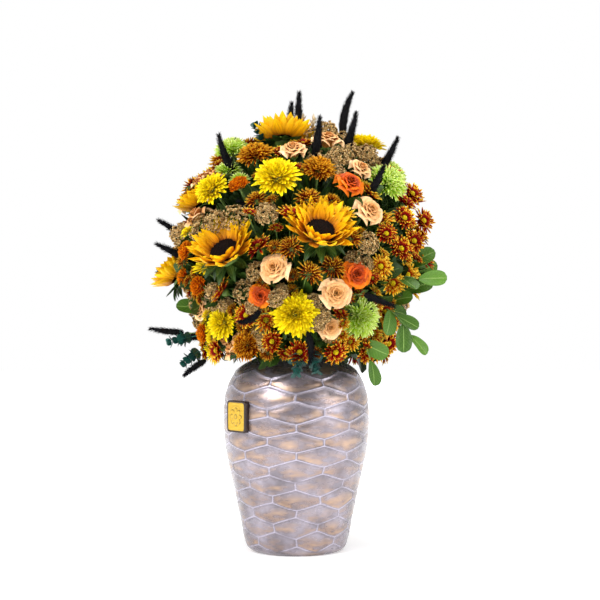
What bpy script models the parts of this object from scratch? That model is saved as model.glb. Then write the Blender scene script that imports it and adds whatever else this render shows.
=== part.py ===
"""A bouquet of sunflowers and mixed cut and dried flowers in a glazed ceramic vase.

Every stem is pushed into a dome of wet floral foam and points away from one
centre inside it, so no two stems cross. Each flower head keeps to a cone of its
own around its stem. The heads are first set out by hand on an egg-shaped dome,
then eased apart until no two cones overlap.

Metres, +Z up. The origin is the middle of the vase's foot and -Y is the front.
"""

import math
from dataclasses import dataclass

import bmesh
import bpy
import numpy as np
from mathutils import Matrix, Vector

# Vase
VASE_HEIGHT = 0.330
BELLY_RADIUS = 0.115
FOOT_RADIUS = 0.070
VASE_WALL = 0.006
VASE_FLOOR = 0.009
VASE_SIDES = 32

# Plaque on the belly
PLAQUE_WIDTH = 0.045
PLAQUE_HEIGHT = 0.049
PLAQUE_DEPTH = 0.007
PLAQUE_CORNER = 0.005
PLAQUE_CENTRE_HEIGHT = 0.218
PLAQUE_BEARING = -50

# Foam and stems
CLEARANCE = 0.0003
CENTRE_RISE = 0.035
FOAM_RADIUS = 0.066
FOAM_FOOT_HEIGHT = 0.180
FOAM_CHAMFER = 0.006
FOAM_SIDES = 24
FOAM_DOME_ROWS = 6
ROOT_RADIUS = 0.045
ROOT_SPACING = 0.0008
FORK_RADIUS = 0.105
SHOOT_SHARE = 0.72
BEND_BEFORE_HEAD = 1.25

# Dome on which the flower heads sit, measured from the vase's mouth
DOME_RADIUS = 0.195
DOME_HALF_HEIGHT = 0.185
DOME_RISE = 0.160
LEAST_REACH = 0.150
LOWEST_HEAD = -17
HEAD_GAP = 0.0012
EASING_ROUNDS = 600

# Flower sizes: the radius that each head reaches from its middle
SUNFLOWER_RADIUS = 0.059
YELLOW_MUM_RADIUS = 0.036
GREEN_MUM_RADIUS = 0.034
BRONZE_MUM_RADIUS = 0.027
ORANGE_ROSE_RADIUS = 0.022
PEACH_ROSE_RADIUS = 0.023
DAISY_RADIUS = 0.021
SEED_CLUSTER_RADIUS = 0.018
FOXTAIL_RADIUS = 0.0078
FOXTAIL_LENGTH = 0.078
LEAF_WIDTH = 0.026
LEAF_LENGTH = 0.048
LEAF_THICKNESS = 0.0018

# Stem sizes: the radius of each kind's stem
SUNFLOWER_STEM = 0.0042
LARGE_MUM_STEM = 0.0026
BRONZE_MUM_STEM = 0.0022
ORANGE_ROSE_STEM = 0.0022
PEACH_ROSE_STEM = 0.0018
DAISY_STEM = 0.0015
SEED_STEM = 0.0014
FOXTAIL_STEM = 0.0011
LEAF_STEM = 0.0012


@dataclass(frozen=True)
class Kind:
    """One kind of flower.

    A profile is a run of rings (radius, height, sides, notch) in shares of the
    head's radius, from the stem to the tip. Odd corners of a notched ring are
    drawn in by the notch, which leaves petals. A kind with a half length stands
    along its stem, and the others face up from it by the lift, in degrees. An
    upright kind is a blade that stands on edge.
    """

    radius: float
    stem_radius: float
    stem_sides: int
    profile: tuple
    colour: tuple
    half_length: float = 0.0
    flatten: float = 1.0
    lift: float = 25.0
    upright: bool = False


@dataclass(frozen=True)
class Head:
    """One head on the dome: bearing and latitude in degrees, 0 facing the front, left negative."""

    bearing: float
    latitude: float
    face_elevation: float | None = None
    face_bearing: float | None = None
    out: float = 0.0
    size: float = 1.0


SUNFLOWER = Kind(
    radius=SUNFLOWER_RADIUS,
    stem_radius=SUNFLOWER_STEM,
    stem_sides=5,
    profile=(
        (0.10, -0.42, 5, 0.0),
        (0.36, -0.18, 15, 0.0),
        (0.97, 0.08, 30, 0.26),
        (0.97, 0.14, 30, 0.26),
        (0.42, -0.02, 15, 0.0),
        (0.40, 0.08, 15, 0.0),
        (0.22, 0.16, 5, 0.0),
    ),
    colour=(0.76, 0.37, 0.01),
    lift=45.0,
)
MUM_PROFILE = (
    (0.10, -0.48, 6, 0.0),
    (0.45, -0.30, 12, 0.0),
    (0.97, -0.04, 24, 0.14),
    (0.96, 0.12, 24, 0.14),
    (0.72, 0.34, 12, 0.0),
    (0.30, 0.50, 6, 0.0),
)
YELLOW_MUM = Kind(YELLOW_MUM_RADIUS, LARGE_MUM_STEM, 6, MUM_PROFILE, (0.80, 0.58, 0.02))
GREEN_MUM = Kind(GREEN_MUM_RADIUS, LARGE_MUM_STEM, 6, MUM_PROFILE, (0.34, 0.50, 0.03))
BRONZE_MUM = Kind(BRONZE_MUM_RADIUS, BRONZE_MUM_STEM, 6, MUM_PROFILE, (0.30, 0.09, 0.02))
ROSE_PROFILE = (
    (0.12, -0.70, 5, 0.0),
    (0.55, -0.52, 10, 0.0),
    (0.90, 0.02, 10, 0.0),
    (0.80, 0.44, 10, 0.0),
    (0.60, 0.38, 10, 0.0),
    (0.28, 0.58, 5, 0.0),
)
ORANGE_ROSE = Kind(ORANGE_ROSE_RADIUS, ORANGE_ROSE_STEM, 5, ROSE_PROFILE, (0.62, 0.10, 0.01))
PEACH_ROSE = Kind(PEACH_ROSE_RADIUS, PEACH_ROSE_STEM, 5, ROSE_PROFILE, (0.74, 0.42, 0.18))
DAISY = Kind(
    radius=DAISY_RADIUS,
    stem_radius=DAISY_STEM,
    stem_sides=4,
    profile=(
        (0.09, -0.50, 4, 0.0),
        (0.97, 0.04, 16, 0.30),
        (0.97, 0.12, 16, 0.30),
        (0.34, 0.06, 8, 0.0),
        (0.18, 0.20, 4, 0.0),
    ),
    colour=(0.50, 0.08, 0.02),
    lift=18.0,
)
SEED_CLUSTER = Kind(
    radius=SEED_CLUSTER_RADIUS,
    stem_radius=SEED_STEM,
    stem_sides=4,
    profile=(
        (0.10, -0.70, 4, 0.0),
        (0.62, -0.20, 4, 0.0),
        (0.92, 0.22, 12, 0.25),
        (0.66, 0.58, 4, 0.0),
    ),
    colour=(0.42, 0.26, 0.08),
    lift=15.0,
)
FOXTAIL = Kind(
    radius=FOXTAIL_RADIUS,
    stem_radius=FOXTAIL_STEM,
    stem_sides=5,
    profile=(
        (0.30, -1.00, 5, 0.0),
        (0.86, -0.72, 5, 0.0),
        (1.00, -0.20, 5, 0.0),
        (0.86, 0.45, 5, 0.0),
        (0.30, 1.00, 5, 0.0),
    ),
    colour=(0.012, 0.011, 0.016),
    half_length=FOXTAIL_LENGTH / 2,
)
LEAF = Kind(
    radius=LEAF_WIDTH / 2,
    stem_radius=LEAF_STEM,
    stem_sides=4,
    profile=(
        (0.12, -1.00, 4, 0.0),
        (0.72, -0.45, 4, 0.0),
        (1.00, 0.12, 4, 0.0),
        (0.74, 0.62, 4, 0.0),
        (0.16, 1.00, 4, 0.0),
    ),
    colour=(0.13, 0.22, 0.03),
    half_length=LEAF_LENGTH / 2,
    flatten=LEAF_THICKNESS / LEAF_WIDTH,
    upright=True,
)

# Every cut stem with its kind and its heads. The first head is straight above
# its root, and the others are side shoots of the same stem.
STEMS = (
    ("sunflower_front_left", SUNFLOWER, (Head(-33, 0, 40, -28),)),
    ("sunflower_front_right", SUNFLOWER, (Head(9, 1, 40, 14),)),
    ("sunflower_top", SUNFLOWER, (Head(-14, 60, 60, 175, out=-0.016, size=0.90),)),
    ("sunflower_left_high", SUNFLOWER, (Head(-62, 18, 58, -105, out=-0.030, size=0.80),)),
    ("sunflower_left_low", SUNFLOWER, (Head(-88, -20, 40, -100, size=0.88),)),
    ("sunflower_back_right", SUNFLOWER, (Head(128, 12, 50),)),
    ("sunflower_back_left", SUNFLOWER, (Head(-142, 8, 50),)),
    ("sunflower_back_high", SUNFLOWER, (Head(172, 46, 70),)),
    ("yellow_mum_centre", YELLOW_MUM, (Head(-5, 24, 38),)),
    ("yellow_mum_front_low", YELLOW_MUM, (Head(5, -12, 12, out=0.010),)),
    ("yellow_mum_top_right", YELLOW_MUM, (Head(72, 58, 80, size=0.94),)),
    ("yellow_mum_left", YELLOW_MUM, (Head(-39, 13, 30, size=0.80),)),
    ("yellow_mum_far_left", YELLOW_MUM, (Head(-100, -30, 15, size=0.80),)),
    ("yellow_mum_left_low", YELLOW_MUM, (Head(-40, -36, 5, size=0.80),)),
    ("yellow_mums_back", YELLOW_MUM, (Head(160, -8, 20), Head(-172, -22, 15, size=0.9))),
    ("green_mum_right_high", GREEN_MUM, (Head(50, 25, 36, 30),)),
    ("green_mum_right_low", GREEN_MUM, (Head(42, -36, 0, 20, size=1.06),)),
    ("green_mum_left_high", GREEN_MUM, (Head(-26, 42, 62, size=0.84),)),
    ("green_mum_far_right", GREEN_MUM, (Head(98, 38, 55, size=0.90),)),
    ("bronze_mum_centre", BRONZE_MUM, (Head(9, 20, 45),)),
    ("bronze_mum_left", BRONZE_MUM, (Head(-20, 29, 55, size=1.06),)),
    ("bronze_mum_low", BRONZE_MUM, (Head(-26, -40, 5, size=0.90),)),
    ("bronze_mum_back", BRONZE_MUM, (Head(110, -14, 20), Head(122, -34, 5, size=0.86))),
    ("orange_rose_right_high", ORANGE_ROSE, (Head(30, 24, 35),)),
    ("orange_rose_right", ORANGE_ROSE, (Head(18, -10, 8),)),
    ("orange_rose_front_low", ORANGE_ROSE, (Head(-8, -22, 8, size=0.84),)),
    ("orange_mum_left_high", ORANGE_ROSE, (Head(-29, 17, 45), Head(-58, -6, 20))),
    ("orange_mum_left", ORANGE_ROSE, (Head(-66, -20, 5, size=0.9), Head(-48, -16, 10), Head(-60, -38, 0))),
    ("peach_roses_top", PEACH_ROSE, (Head(26, 52, 75), Head(-8, 42, 60, size=0.9))),
    ("peach_roses_left", PEACH_ROSE, (Head(-54, -28, 5, size=0.86), Head(-20, -14, 20))),
    (
        "peach_roses_right",
        PEACH_ROSE,
        (Head(12, -14, 8, out=0.020), Head(24, -26, 0, out=0.006, size=0.84)),
    ),
    ("peach_roses_far_right", PEACH_ROSE, (Head(36, 9, 25), Head(46, 30, 40, size=0.8))),
    ("peach_roses_back", PEACH_ROSE, (Head(-160, 26, 40), Head(150, 34, 50))),
    (
        "daisies_right_high",
        DAISY,
        (Head(55, 14, 20, 30), Head(78, 8, 15, 40, out=0.012), Head(76, 21, 30, 40, out=0.008)),
    ),
    ("daisies_right", DAISY, (Head(47, -2, 20, 25), Head(37, 1, 25, 20, size=0.9), Head(62, 4, 20, 30))),
    ("daisies_right_low", DAISY, (Head(45, -12, 12, 25), Head(54, -22, 8, 30), Head(34, -12, 12, 20))),
    (
        "daisies_low_right",
        DAISY,
        (Head(50, -32, 0, 28, size=0.92), Head(84, -52, -10, 45), Head(76, -40, -5, 40)),
    ),
    ("daisies_low_front", DAISY, (Head(24, -62, -20), Head(2, -58, -15), Head(40, -62, -20))),
    ("daisies_left", DAISY, (Head(-30, -26, 10), Head(-24, -40, 5, size=0.9))),
    ("daisies_low_left", DAISY, (Head(-60, -56, -10), Head(-84, -60, -10))),
    ("daisies_back_low", DAISY, (Head(-150, -40, 0), Head(-168, -44, 0), Head(-132, -34, 0))),
    ("daisies_back_high", DAISY, (Head(132, 48, 60), Head(112, 60, 70))),
    ("daisies_back_left", DAISY, (Head(-128, 44, 60), Head(-146, 50, 70), Head(-122, 58, 60))),
    ("seed_heads_top", SEED_CLUSTER, (Head(34, 40, 60), Head(24, 72, 85), Head(52, 44, 60))),
    ("seed_heads_right", SEED_CLUSTER, (Head(30, -4, 20), Head(88, -8, 20))),
    ("seed_heads_centre", SEED_CLUSTER, (Head(-16, 13, 40),)),
    ("seed_heads_left", SEED_CLUSTER, (Head(-72, 2, 30), Head(-90, -34, 0))),
    ("seed_heads_back", SEED_CLUSTER, (Head(146, -30, 0), Head(134, -16, 10), Head(96, -30, 10))),
    (
        "foxtails_top",
        FOXTAIL,
        (Head(-14, 78, out=0.020), Head(4, 50, out=0.015), Head(-176, 66, out=0.030)),
    ),
    ("foxtails_top_right", FOXTAIL, (Head(52, 70, out=0.034), Head(48, 48, out=0.012))),
    ("foxtails_right", FOXTAIL, (Head(42, 20, out=0.008), Head(62, 36, out=0.010))),
    ("foxtails_left_high", FOXTAIL, (Head(-38, 33, out=0.014), Head(-50, 26, out=0.012))),
    ("foxtails_left", FOXTAIL, (Head(-70, 6, out=-0.004), Head(-76, -8, out=0.002))),
    ("foxtails_left_low", FOXTAIL, (Head(-98, -26, out=0.024), Head(-90, -44, out=0.014))),
    (
        "leaves_right",
        LEAF,
        (
            Head(64, -14, out=0.012),
            Head(72, -28, out=0.020),
            Head(60, -30),
            Head(78, -16, out=0.016),
        ),
    ),
    ("leaves_left", LEAF, (Head(-112, -40, out=0.004), Head(-72, -34, out=0.010))),
    ("leaves_back", LEAF, (Head(172, -30), Head(-178, 4, out=0.01))),
)

# The vase's outline as shares of its height and of its belly's radius
VASE_OUTLINE = (
    (0.012, 0.660),
    (0.050, 0.705),
    (0.148, 0.765),
    (0.321, 0.870),
    (0.497, 0.974),
    (0.600, 1.000),
    (0.700, 0.997),
    (0.758, 0.972),
    (0.818, 0.915),
    (0.870, 0.825),
    (0.905, 0.690),
    (0.932, 0.545),
    (0.958, 0.470),
    (0.985, 0.478),
)

GLAZE = (0.44, 0.37, 0.38)
GOLD = (0.60, 0.36, 0.08)
FOAM_GREEN = (0.05, 0.13, 0.04)


def clear_scene() -> None:
    """Remove everything that Blender starts with."""
    for obj in list(bpy.data.objects):
        bpy.data.objects.remove(obj, do_unlink=True)


def material(name: str, colour: tuple, roughness: float, metallic: float = 0.0):
    """Make a Principled BSDF material."""
    made = bpy.data.materials.new(name)
    made.use_nodes = True
    shader = made.node_tree.nodes["Principled BSDF"]
    shader.inputs["Base Color"].default_value = (*colour, 1.0)
    shader.inputs["Roughness"].default_value = roughness
    shader.inputs["Metallic"].default_value = metallic
    return made


def mesh_object(name: str, points: list, faces: list, surface=None):
    """Make an object from corner points and faces, and put it in the scene."""
    mesh = bpy.data.meshes.new(name)
    mesh.from_pydata([tuple(point) for point in points], [], faces)
    mesh.validate()
    if surface:
        mesh.materials.append(surface)
    obj = bpy.data.objects.new(name, mesh)
    bpy.context.collection.objects.link(obj)
    return obj


def as_cutter(obj):
    """Leave an object out of the model, as a tool for a Boolean."""
    obj.hide_render = True
    obj.display_type = "WIRE"
    return obj


def boolean(obj, tool, operation: str) -> None:
    """Apply one Boolean to an object and remove its tool."""
    modifier = obj.modifiers.new(operation.lower(), "BOOLEAN")
    modifier.operation = operation
    modifier.solver = "EXACT"
    modifier.object = as_cutter(tool)
    with bpy.context.temp_override(object=obj, active_object=obj, selected_objects=[obj]):
        bpy.ops.object.modifier_apply(modifier=modifier.name)
    bpy.data.objects.remove(tool, do_unlink=True)


def smooth(obj, angle: float = 40.0) -> None:
    """Shade round faces smooth and leave the sharp edges."""
    obj.data.shade_smooth()
    obj.data.set_sharp_from_angle(angle=math.radians(angle))


def turned(name: str, outline: list, sides: int, surface=None):
    """Turn an outline of (radius, height) points about Z; both its ends close flat."""
    points = []
    for radius, height in outline:
        for corner in range(sides):
            angle = 2 * math.pi * corner / sides
            points.append((radius * math.cos(angle), radius * math.sin(angle), height))
    faces = [tuple(reversed(range(sides)))]
    for row in range(len(outline) - 1):
        low = row * sides
        high = low + sides
        for corner in range(sides):
            after = (corner + 1) % sides
            faces.append((low + corner, low + after, high + after, high + corner))
    faces.append(tuple(range((len(outline) - 1) * sides, len(outline) * sides)))
    return mesh_object(name, points, faces, surface)


def outward_offset(outline: list, distance: float) -> list:
    """Move each point of a (radius, height) outline along its outward normal."""
    moved = []
    for index, (radius, height) in enumerate(outline):
        before = outline[max(index - 1, 0)]
        after = outline[min(index + 1, len(outline) - 1)]
        along = Vector((after[0] - before[0], after[1] - before[1])).normalized()
        moved.append((radius + along.y * distance, height - along.x * distance))
    return moved


def vase_wall() -> list:
    """The vase's outer (radius, height) points, from above its foot to below its lip."""
    return [(share * BELLY_RADIUS, rise * VASE_HEIGHT) for rise, share in VASE_OUTLINE]


def lip_radius() -> float:
    """The radius of the middle of the vase's lip."""
    return vase_wall()[-1][0] - VASE_WALL / 2


def neck_hole_radius() -> float:
    """The least radius inside the vase's neck."""
    return min(radius for radius, _ in vase_wall()[-3:]) - VASE_WALL


def make_vase() -> None:
    """The hollow ceramic vase, from its flat foot up its side, over the lip and down inside."""
    outer = vase_wall()
    inner = [
        (radius, height)
        for radius, height in reversed(outward_offset(outer, -VASE_WALL))
        if height > VASE_FLOOR + VASE_WALL / 2
    ]
    lip = [(lip_radius() + VASE_WALL / 6, VASE_HEIGHT), (lip_radius() - VASE_WALL / 6, VASE_HEIGHT)]
    foot = [(FOOT_RADIUS, 0.0)]
    well = [(inner[-1][0] - VASE_WALL / 2, VASE_FLOOR)]
    vase = turned("vase", foot + outer + lip + inner + well, VASE_SIDES, material("glaze", GLAZE, 0.28))
    smooth(vase)


def make_plaque() -> None:
    """The small raised plaque, with its back curved to the belly."""
    bearing = math.radians(PLAQUE_BEARING)
    front = Vector((math.sin(bearing), -math.cos(bearing), 0.0))
    mesh = bmesh.new()
    bmesh.ops.create_cube(mesh, size=1.0)
    deep = 2 * BELLY_RADIUS
    bmesh.ops.scale(mesh, vec=(PLAQUE_WIDTH, deep, PLAQUE_HEIGHT), verts=mesh.verts)
    upright = [edge for edge in mesh.edges if abs(edge.verts[0].co.y - edge.verts[1].co.y) > deep / 2]
    bmesh.ops.bevel(mesh, geom=upright, offset=PLAQUE_CORNER, segments=3, profile=0.5, affect="EDGES")
    face_at = BELLY_RADIUS + PLAQUE_DEPTH
    turn = Matrix.Rotation(bearing, 4, "Z")
    place = Matrix.Translation(front * (face_at - deep / 2) + Vector((0, 0, PLAQUE_CENTRE_HEIGHT)))
    bmesh.ops.transform(mesh, matrix=place @ turn, verts=mesh.verts)
    data = bpy.data.meshes.new("vase_plaque")
    mesh.to_mesh(data)
    mesh.free()
    data.materials.append(material("brass plaque", GOLD, 0.3, 1.0))
    plaque = bpy.data.objects.new("vase_plaque", data)
    bpy.context.collection.objects.link(plaque)
    grown = outward_offset(vase_wall(), CLEARANCE)
    boolean(plaque, turned("belly cutter", grown, VASE_SIDES), "DIFFERENCE")
    smooth(plaque)


def centre() -> Vector:
    """The point that every stem points away from."""
    return Vector((0.0, 0.0, VASE_HEIGHT + CENTRE_RISE))


def direction(bearing: float, elevation: float) -> Vector:
    """The unit vector at a bearing from the front and an elevation, both in degrees."""
    turn = math.radians(bearing)
    up = math.radians(elevation)
    return Vector((math.cos(up) * math.sin(turn), -math.cos(up) * math.cos(turn), math.sin(up)))


def dome_point(head: Head) -> Vector:
    """Where a head is first set out on the dome."""
    way = direction(head.bearing, head.latitude)
    flat = Vector((way.x, way.y, 0.0)) * DOME_RADIUS
    middle = Vector((0.0, 0.0, VASE_HEIGHT + DOME_RISE))
    return middle + flat + Vector((0.0, 0.0, way.z * DOME_HALF_HEIGHT))


def dome_reach(way: np.ndarray) -> np.ndarray:
    """The distance from the centre to the dome along each unit vector."""
    sink = CENTRE_RISE - DOME_RISE
    level = 1 / DOME_RADIUS**2
    upright = 1 / DOME_HALF_HEIGHT**2
    a = level * (way[:, 0] ** 2 + way[:, 1] ** 2) + upright * way[:, 2] ** 2
    b = 2 * upright * sink * way[:, 2]
    c = upright * sink**2 - 1
    return (-b + np.sqrt(b * b - 4 * a * c)) / (2 * a)


def head_radius(kind: Kind, head: Head) -> float:
    """The radius of the ball that a head keeps to, across its stem."""
    return kind.radius * head.size


def ease_apart(heads: list) -> list:
    """Turn the heads' directions until no two cones overlap.

    Each round pushes the two heads of every crowded pair apart, the smaller one
    further. A head that is still crowded at the end moves further out, until it
    fits the cone that its neighbours leave it.

    Returns:
        For each head, its unit vector from the centre and its reach along it.
    """
    start = centre()
    ways = np.array([(dome_point(head) - start).normalized() for _, head in heads])
    radii = np.array([head_radius(kind, head) for kind, head in heads])
    outs = np.array([head.out for _, head in heads])
    thick = np.array([kind.stem_radius for kind, _ in heads])
    lowest = math.sin(math.radians(LOWEST_HEAD))
    at_root = np.arcsin((thick + CLEARANCE + ROOT_SPACING) / ROOT_RADIUS)
    share = radii[None, :] / (radii[:, None] + radii[None, :])
    for _ in range(EASING_ROUNDS):
        reach = np.maximum(dome_reach(ways), LEAST_REACH) + outs
        cone = np.maximum(np.arcsin((radii + HEAD_GAP / 2) / reach), at_root)
        between = np.arccos(np.clip(ways @ ways.T, -1, 1))
        crowding = np.maximum(cone[:, None] + cone[None, :] - between, 0)
        np.fill_diagonal(crowding, 0)
        away = ways[:, None, :] - ways[None, :, :]
        away /= np.linalg.norm(away, axis=2, keepdims=True) + 1e-9
        ways += 0.6 * (away * (crowding * share)[:, :, None]).sum(axis=1)
        ways /= np.linalg.norm(ways, axis=1, keepdims=True)
        ways[:, 2] = np.maximum(ways[:, 2], lowest)
        ways /= np.linalg.norm(ways, axis=1, keepdims=True)
    reach = np.maximum(dome_reach(ways), LEAST_REACH) + outs
    cone = np.maximum(np.arcsin((radii + HEAD_GAP / 2) / reach), at_root)
    between = np.arccos(np.clip(ways @ ways.T, -1, 1))
    np.fill_diagonal(between, math.pi)
    room = np.minimum(1, (between / (cone[:, None] + cone[None, :])).min(axis=1))
    reach = np.maximum(reach, (radii + HEAD_GAP / 2) / np.sin(cone * room))
    return [(Vector(way), float(far)) for way, far in zip(ways, reach)]


def ring(middle: Vector, turn: Matrix, radius: float, sides: int, notch=0.0, flatten=1.0) -> list:
    """The corners of one ring across the frame's Z axis, flattened along the frame's Y axis."""
    corners = []
    for corner in range(sides):
        angle = 2 * math.pi * corner / sides
        far = radius * (1 - notch * (corner % 2))
        corners.append(middle + turn @ Vector((far * math.cos(angle), far * math.sin(angle) * flatten, 0.0)))
    return corners


def bridge(low: list, high: list) -> list:
    """Faces between two rings of point numbers, where one may have a multiple of the other's corners."""
    if len(low) > len(high):
        return [tuple(reversed(face)) for face in bridge(high, low)]
    few = len(low)
    times = len(high) // few
    if times == 1:
        return [(low[i], low[(i + 1) % few], high[(i + 1) % few], high[i]) for i in range(few)]
    faces = []
    half = times // 2
    for i in range(few):
        after = low[(i + 1) % few]
        for step in range(times):
            here = high[i * times + step]
            beyond = high[(i * times + step + 1) % len(high)]
            faces.append((low[i] if step < half else after, beyond, here))
        faces.append((low[i], after, high[i * times + half]))
    return faces


def skin(name: str, rings: list, surface=None):
    """Make one closed body through rings of corners, with a flat cap at both ends."""
    points = []
    numbers = []
    for corners in rings:
        numbers.append(list(range(len(points), len(points) + len(corners))))
        points.extend(corners)
    faces = [tuple(reversed(numbers[0]))]
    for low, high in zip(numbers, numbers[1:]):
        faces.extend(bridge(low, high))
    faces.append(tuple(numbers[-1]))
    return mesh_object(name, points, faces, surface)


def frame_along(way: Vector) -> Matrix:
    """A turn whose Z axis is the given unit vector and whose X axis lies level."""
    side = Vector((0.0, 0.0, 1.0)).cross(way)
    side = side.normalized() if side.length > 1e-4 else Vector((1.0, 0.0, 0.0))
    return Matrix((side, way.cross(side), way)).transposed()


def carried(turn: Matrix, way: Vector) -> Matrix:
    """The same turn swung the shortest way until its Z axis is the given unit vector."""
    return turn.col[2].rotation_difference(way).to_matrix() @ turn


def facing(kind: Kind, head: Head, way: Vector) -> Vector:
    """The unit vector that a head faces along."""
    if kind.half_length:
        return way
    bearing = head.bearing if head.face_bearing is None else head.face_bearing
    elevation = head.face_elevation
    if elevation is None:
        elevation = min(math.degrees(math.asin(way.z)) + kind.lift, 88)
    return direction(bearing, elevation)


def grow(name: str, kind: Kind, head: Head, place: tuple, foot: Vector, thickness: float, surface):
    """Make one stem and its head as one closed body.

    Args:
        place: The head's unit vector from the centre and its reach.
        foot: Where this stem starts, on the way of its own head or on another stem.
        thickness: The stem's radius.
    """
    way, reach = place
    face = facing(kind, head, way)
    radius = head_radius(kind, head)
    long_by = kind.half_length * head.size or radius
    middle = centre() + way * reach
    stem_end = middle + face * (kind.profile[0][1] * long_by)
    bend = centre() + way * (reach - BEND_BEFORE_HEAD * long_by)
    start_way = (bend - foot).normalized()
    turn = frame_along(start_way)
    rings = [ring(foot, turn, thickness, kind.stem_sides)]
    half_way = (start_way + (stem_end - bend).normalized()).normalized()
    turn = carried(turn, half_way)
    rings.append(ring(bend, turn, thickness, kind.stem_sides))
    turn = carried(turn, face)
    if kind.upright:
        turn = turn @ Matrix.Rotation(math.pi / 2, 3, "Z")
    for share, rise, sides, notch in kind.profile:
        at = middle + face * (rise * long_by)
        size = max(share * radius, thickness) if rise == kind.profile[0][1] else share * radius
        flatten = kind.flatten if 0 < abs(rise) < 1 else max(kind.flatten, 0.6)
        rings.append(ring(at, turn, size, sides, notch, flatten))
    return skin(name, rings, surface)


def make_stems() -> list:
    """Every cut stem, and the roots that the foam needs sockets for.

    Returns:
        For each stem, its kind and the unit vector that its root lies along.
    """
    heads = [(kind, head) for _, kind, group in STEMS for head in group]
    places = iter(ease_apart(heads))
    roots = []
    for name, kind, group in STEMS:
        group_places = [next(places) for _ in group]
        way = group_places[0][0]
        surface = material(name, kind.colour, 0.6)
        foot = centre() + way * ROOT_RADIUS
        body = grow(name, kind, group[0], group_places[0], foot, kind.stem_radius, surface)
        fork = centre() + way * FORK_RADIUS
        for head, place in zip(group[1:], group_places[1:]):
            shoot = grow(f"{name} shoot", kind, head, place, fork, kind.stem_radius * SHOOT_SHARE, surface)
            boolean(body, shoot, "UNION")
        smooth(body)
        roots.append((kind, way))
    return roots


def make_foam(roots: list) -> None:
    """The wet foam: a plug in the neck, a shoulder on the lip and a dome, with a socket for each stem."""
    middle = centre().z
    plug = neck_hole_radius() - CLEARANCE
    seat = VASE_HEIGHT + CLEARANCE
    outline = [
        (plug - FOAM_CHAMFER, FOAM_FOOT_HEIGHT),
        (plug, FOAM_FOOT_HEIGHT + FOAM_CHAMFER),
        (plug, seat),
    ]
    seat_angle = math.asin((seat - middle) / FOAM_RADIUS)
    for row in range(FOAM_DOME_ROWS):
        angle = seat_angle + (math.pi / 2 - seat_angle) * row / FOAM_DOME_ROWS
        outline.append((FOAM_RADIUS * math.cos(angle), middle + FOAM_RADIUS * math.sin(angle)))
    foam = turned("floral_foam", outline, FOAM_SIDES, material("foam", FOAM_GREEN, 0.95))
    points = []
    faces = []
    for kind, way in roots:
        turn = frame_along(way)
        wide = kind.stem_radius + CLEARANCE / math.cos(math.pi / kind.stem_sides)
        first = len(points)
        for far in (ROOT_RADIUS - CLEARANCE, FOAM_RADIUS * 1.15):
            points.extend(ring(centre() + way * far, turn, wide, kind.stem_sides))
        low = list(range(first, first + kind.stem_sides))
        high = [number + kind.stem_sides for number in low]
        faces.append(tuple(reversed(low)))
        faces.extend(bridge(low, high))
        faces.append(tuple(high))
    boolean(foam, mesh_object("stem sockets", points, faces), "DIFFERENCE")
    smooth(foam)


def main() -> None:
    """Build the whole object."""
    clear_scene()
    make_vase()
    make_plaque()
    roots = make_stems()
    make_foam(roots)


if __name__ == "__main__":
    main()
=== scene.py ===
"""Looks of a bouquet of sunflowers and mixed flowers in a pearl-glazed vase.

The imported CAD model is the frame. Every head's place, face and size are read from
its CAD solid, and a finished flower of many petals is grown there in its stead.
"""

import itertools
import logging
import math
from abc import ABC, abstractmethod
from dataclasses import dataclass, field
from enum import Enum

import bpy
import numpy as np
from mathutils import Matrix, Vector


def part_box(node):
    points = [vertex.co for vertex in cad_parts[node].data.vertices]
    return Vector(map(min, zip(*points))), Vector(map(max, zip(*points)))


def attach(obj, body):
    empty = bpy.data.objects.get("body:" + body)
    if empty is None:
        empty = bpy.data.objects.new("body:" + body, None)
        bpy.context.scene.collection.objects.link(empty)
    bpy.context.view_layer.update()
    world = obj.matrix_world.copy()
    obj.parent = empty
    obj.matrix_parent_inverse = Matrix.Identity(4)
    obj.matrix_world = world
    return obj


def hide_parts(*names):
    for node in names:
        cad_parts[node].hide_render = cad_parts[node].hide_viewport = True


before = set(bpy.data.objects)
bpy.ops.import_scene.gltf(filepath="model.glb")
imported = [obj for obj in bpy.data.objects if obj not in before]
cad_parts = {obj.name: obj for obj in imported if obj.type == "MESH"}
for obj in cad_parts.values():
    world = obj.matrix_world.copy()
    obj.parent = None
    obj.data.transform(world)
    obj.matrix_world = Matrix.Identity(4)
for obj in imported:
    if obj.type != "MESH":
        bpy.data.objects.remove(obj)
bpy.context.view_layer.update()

LOG = logging.getLogger("bouquet")
GOLDEN_ANGLE = math.pi * (3 - math.sqrt(5))
CENTRE_RISE = 0.035
FORK_RADIUS = 0.105
HEADS_BEYOND = 0.114
RIM_FROM = 0.93


# ---------------------------------------------------------------- colour and nodes

Socket = bpy.types.NodeSocket
Stops = tuple[tuple[float, str], ...]
Measure = float | np.ndarray
COLOUR_MIX = {"data_type": "RGBA", "output": "Result_Color"}
SMOOTH = {"interpolation_type": "SMOOTHSTEP"}


def linear(code: str) -> tuple[float, float, float, float]:
    """Turn an sRGB hex code into a linear colour.

    Args:
        code: Six hex digits, with or without a leading #.

    Returns:
        Red, green, blue and an alpha of one.
    """
    digits = code.lstrip("#")
    parts = [int(digits[at : at + 2], 16) / 255 for at in (0, 2, 4)]
    red, green, blue = (p / 12.92 if p <= 0.04045 else ((p + 0.055) / 1.055) ** 2.4 for p in parts)
    return (red, green, blue, 1.0)


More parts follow.
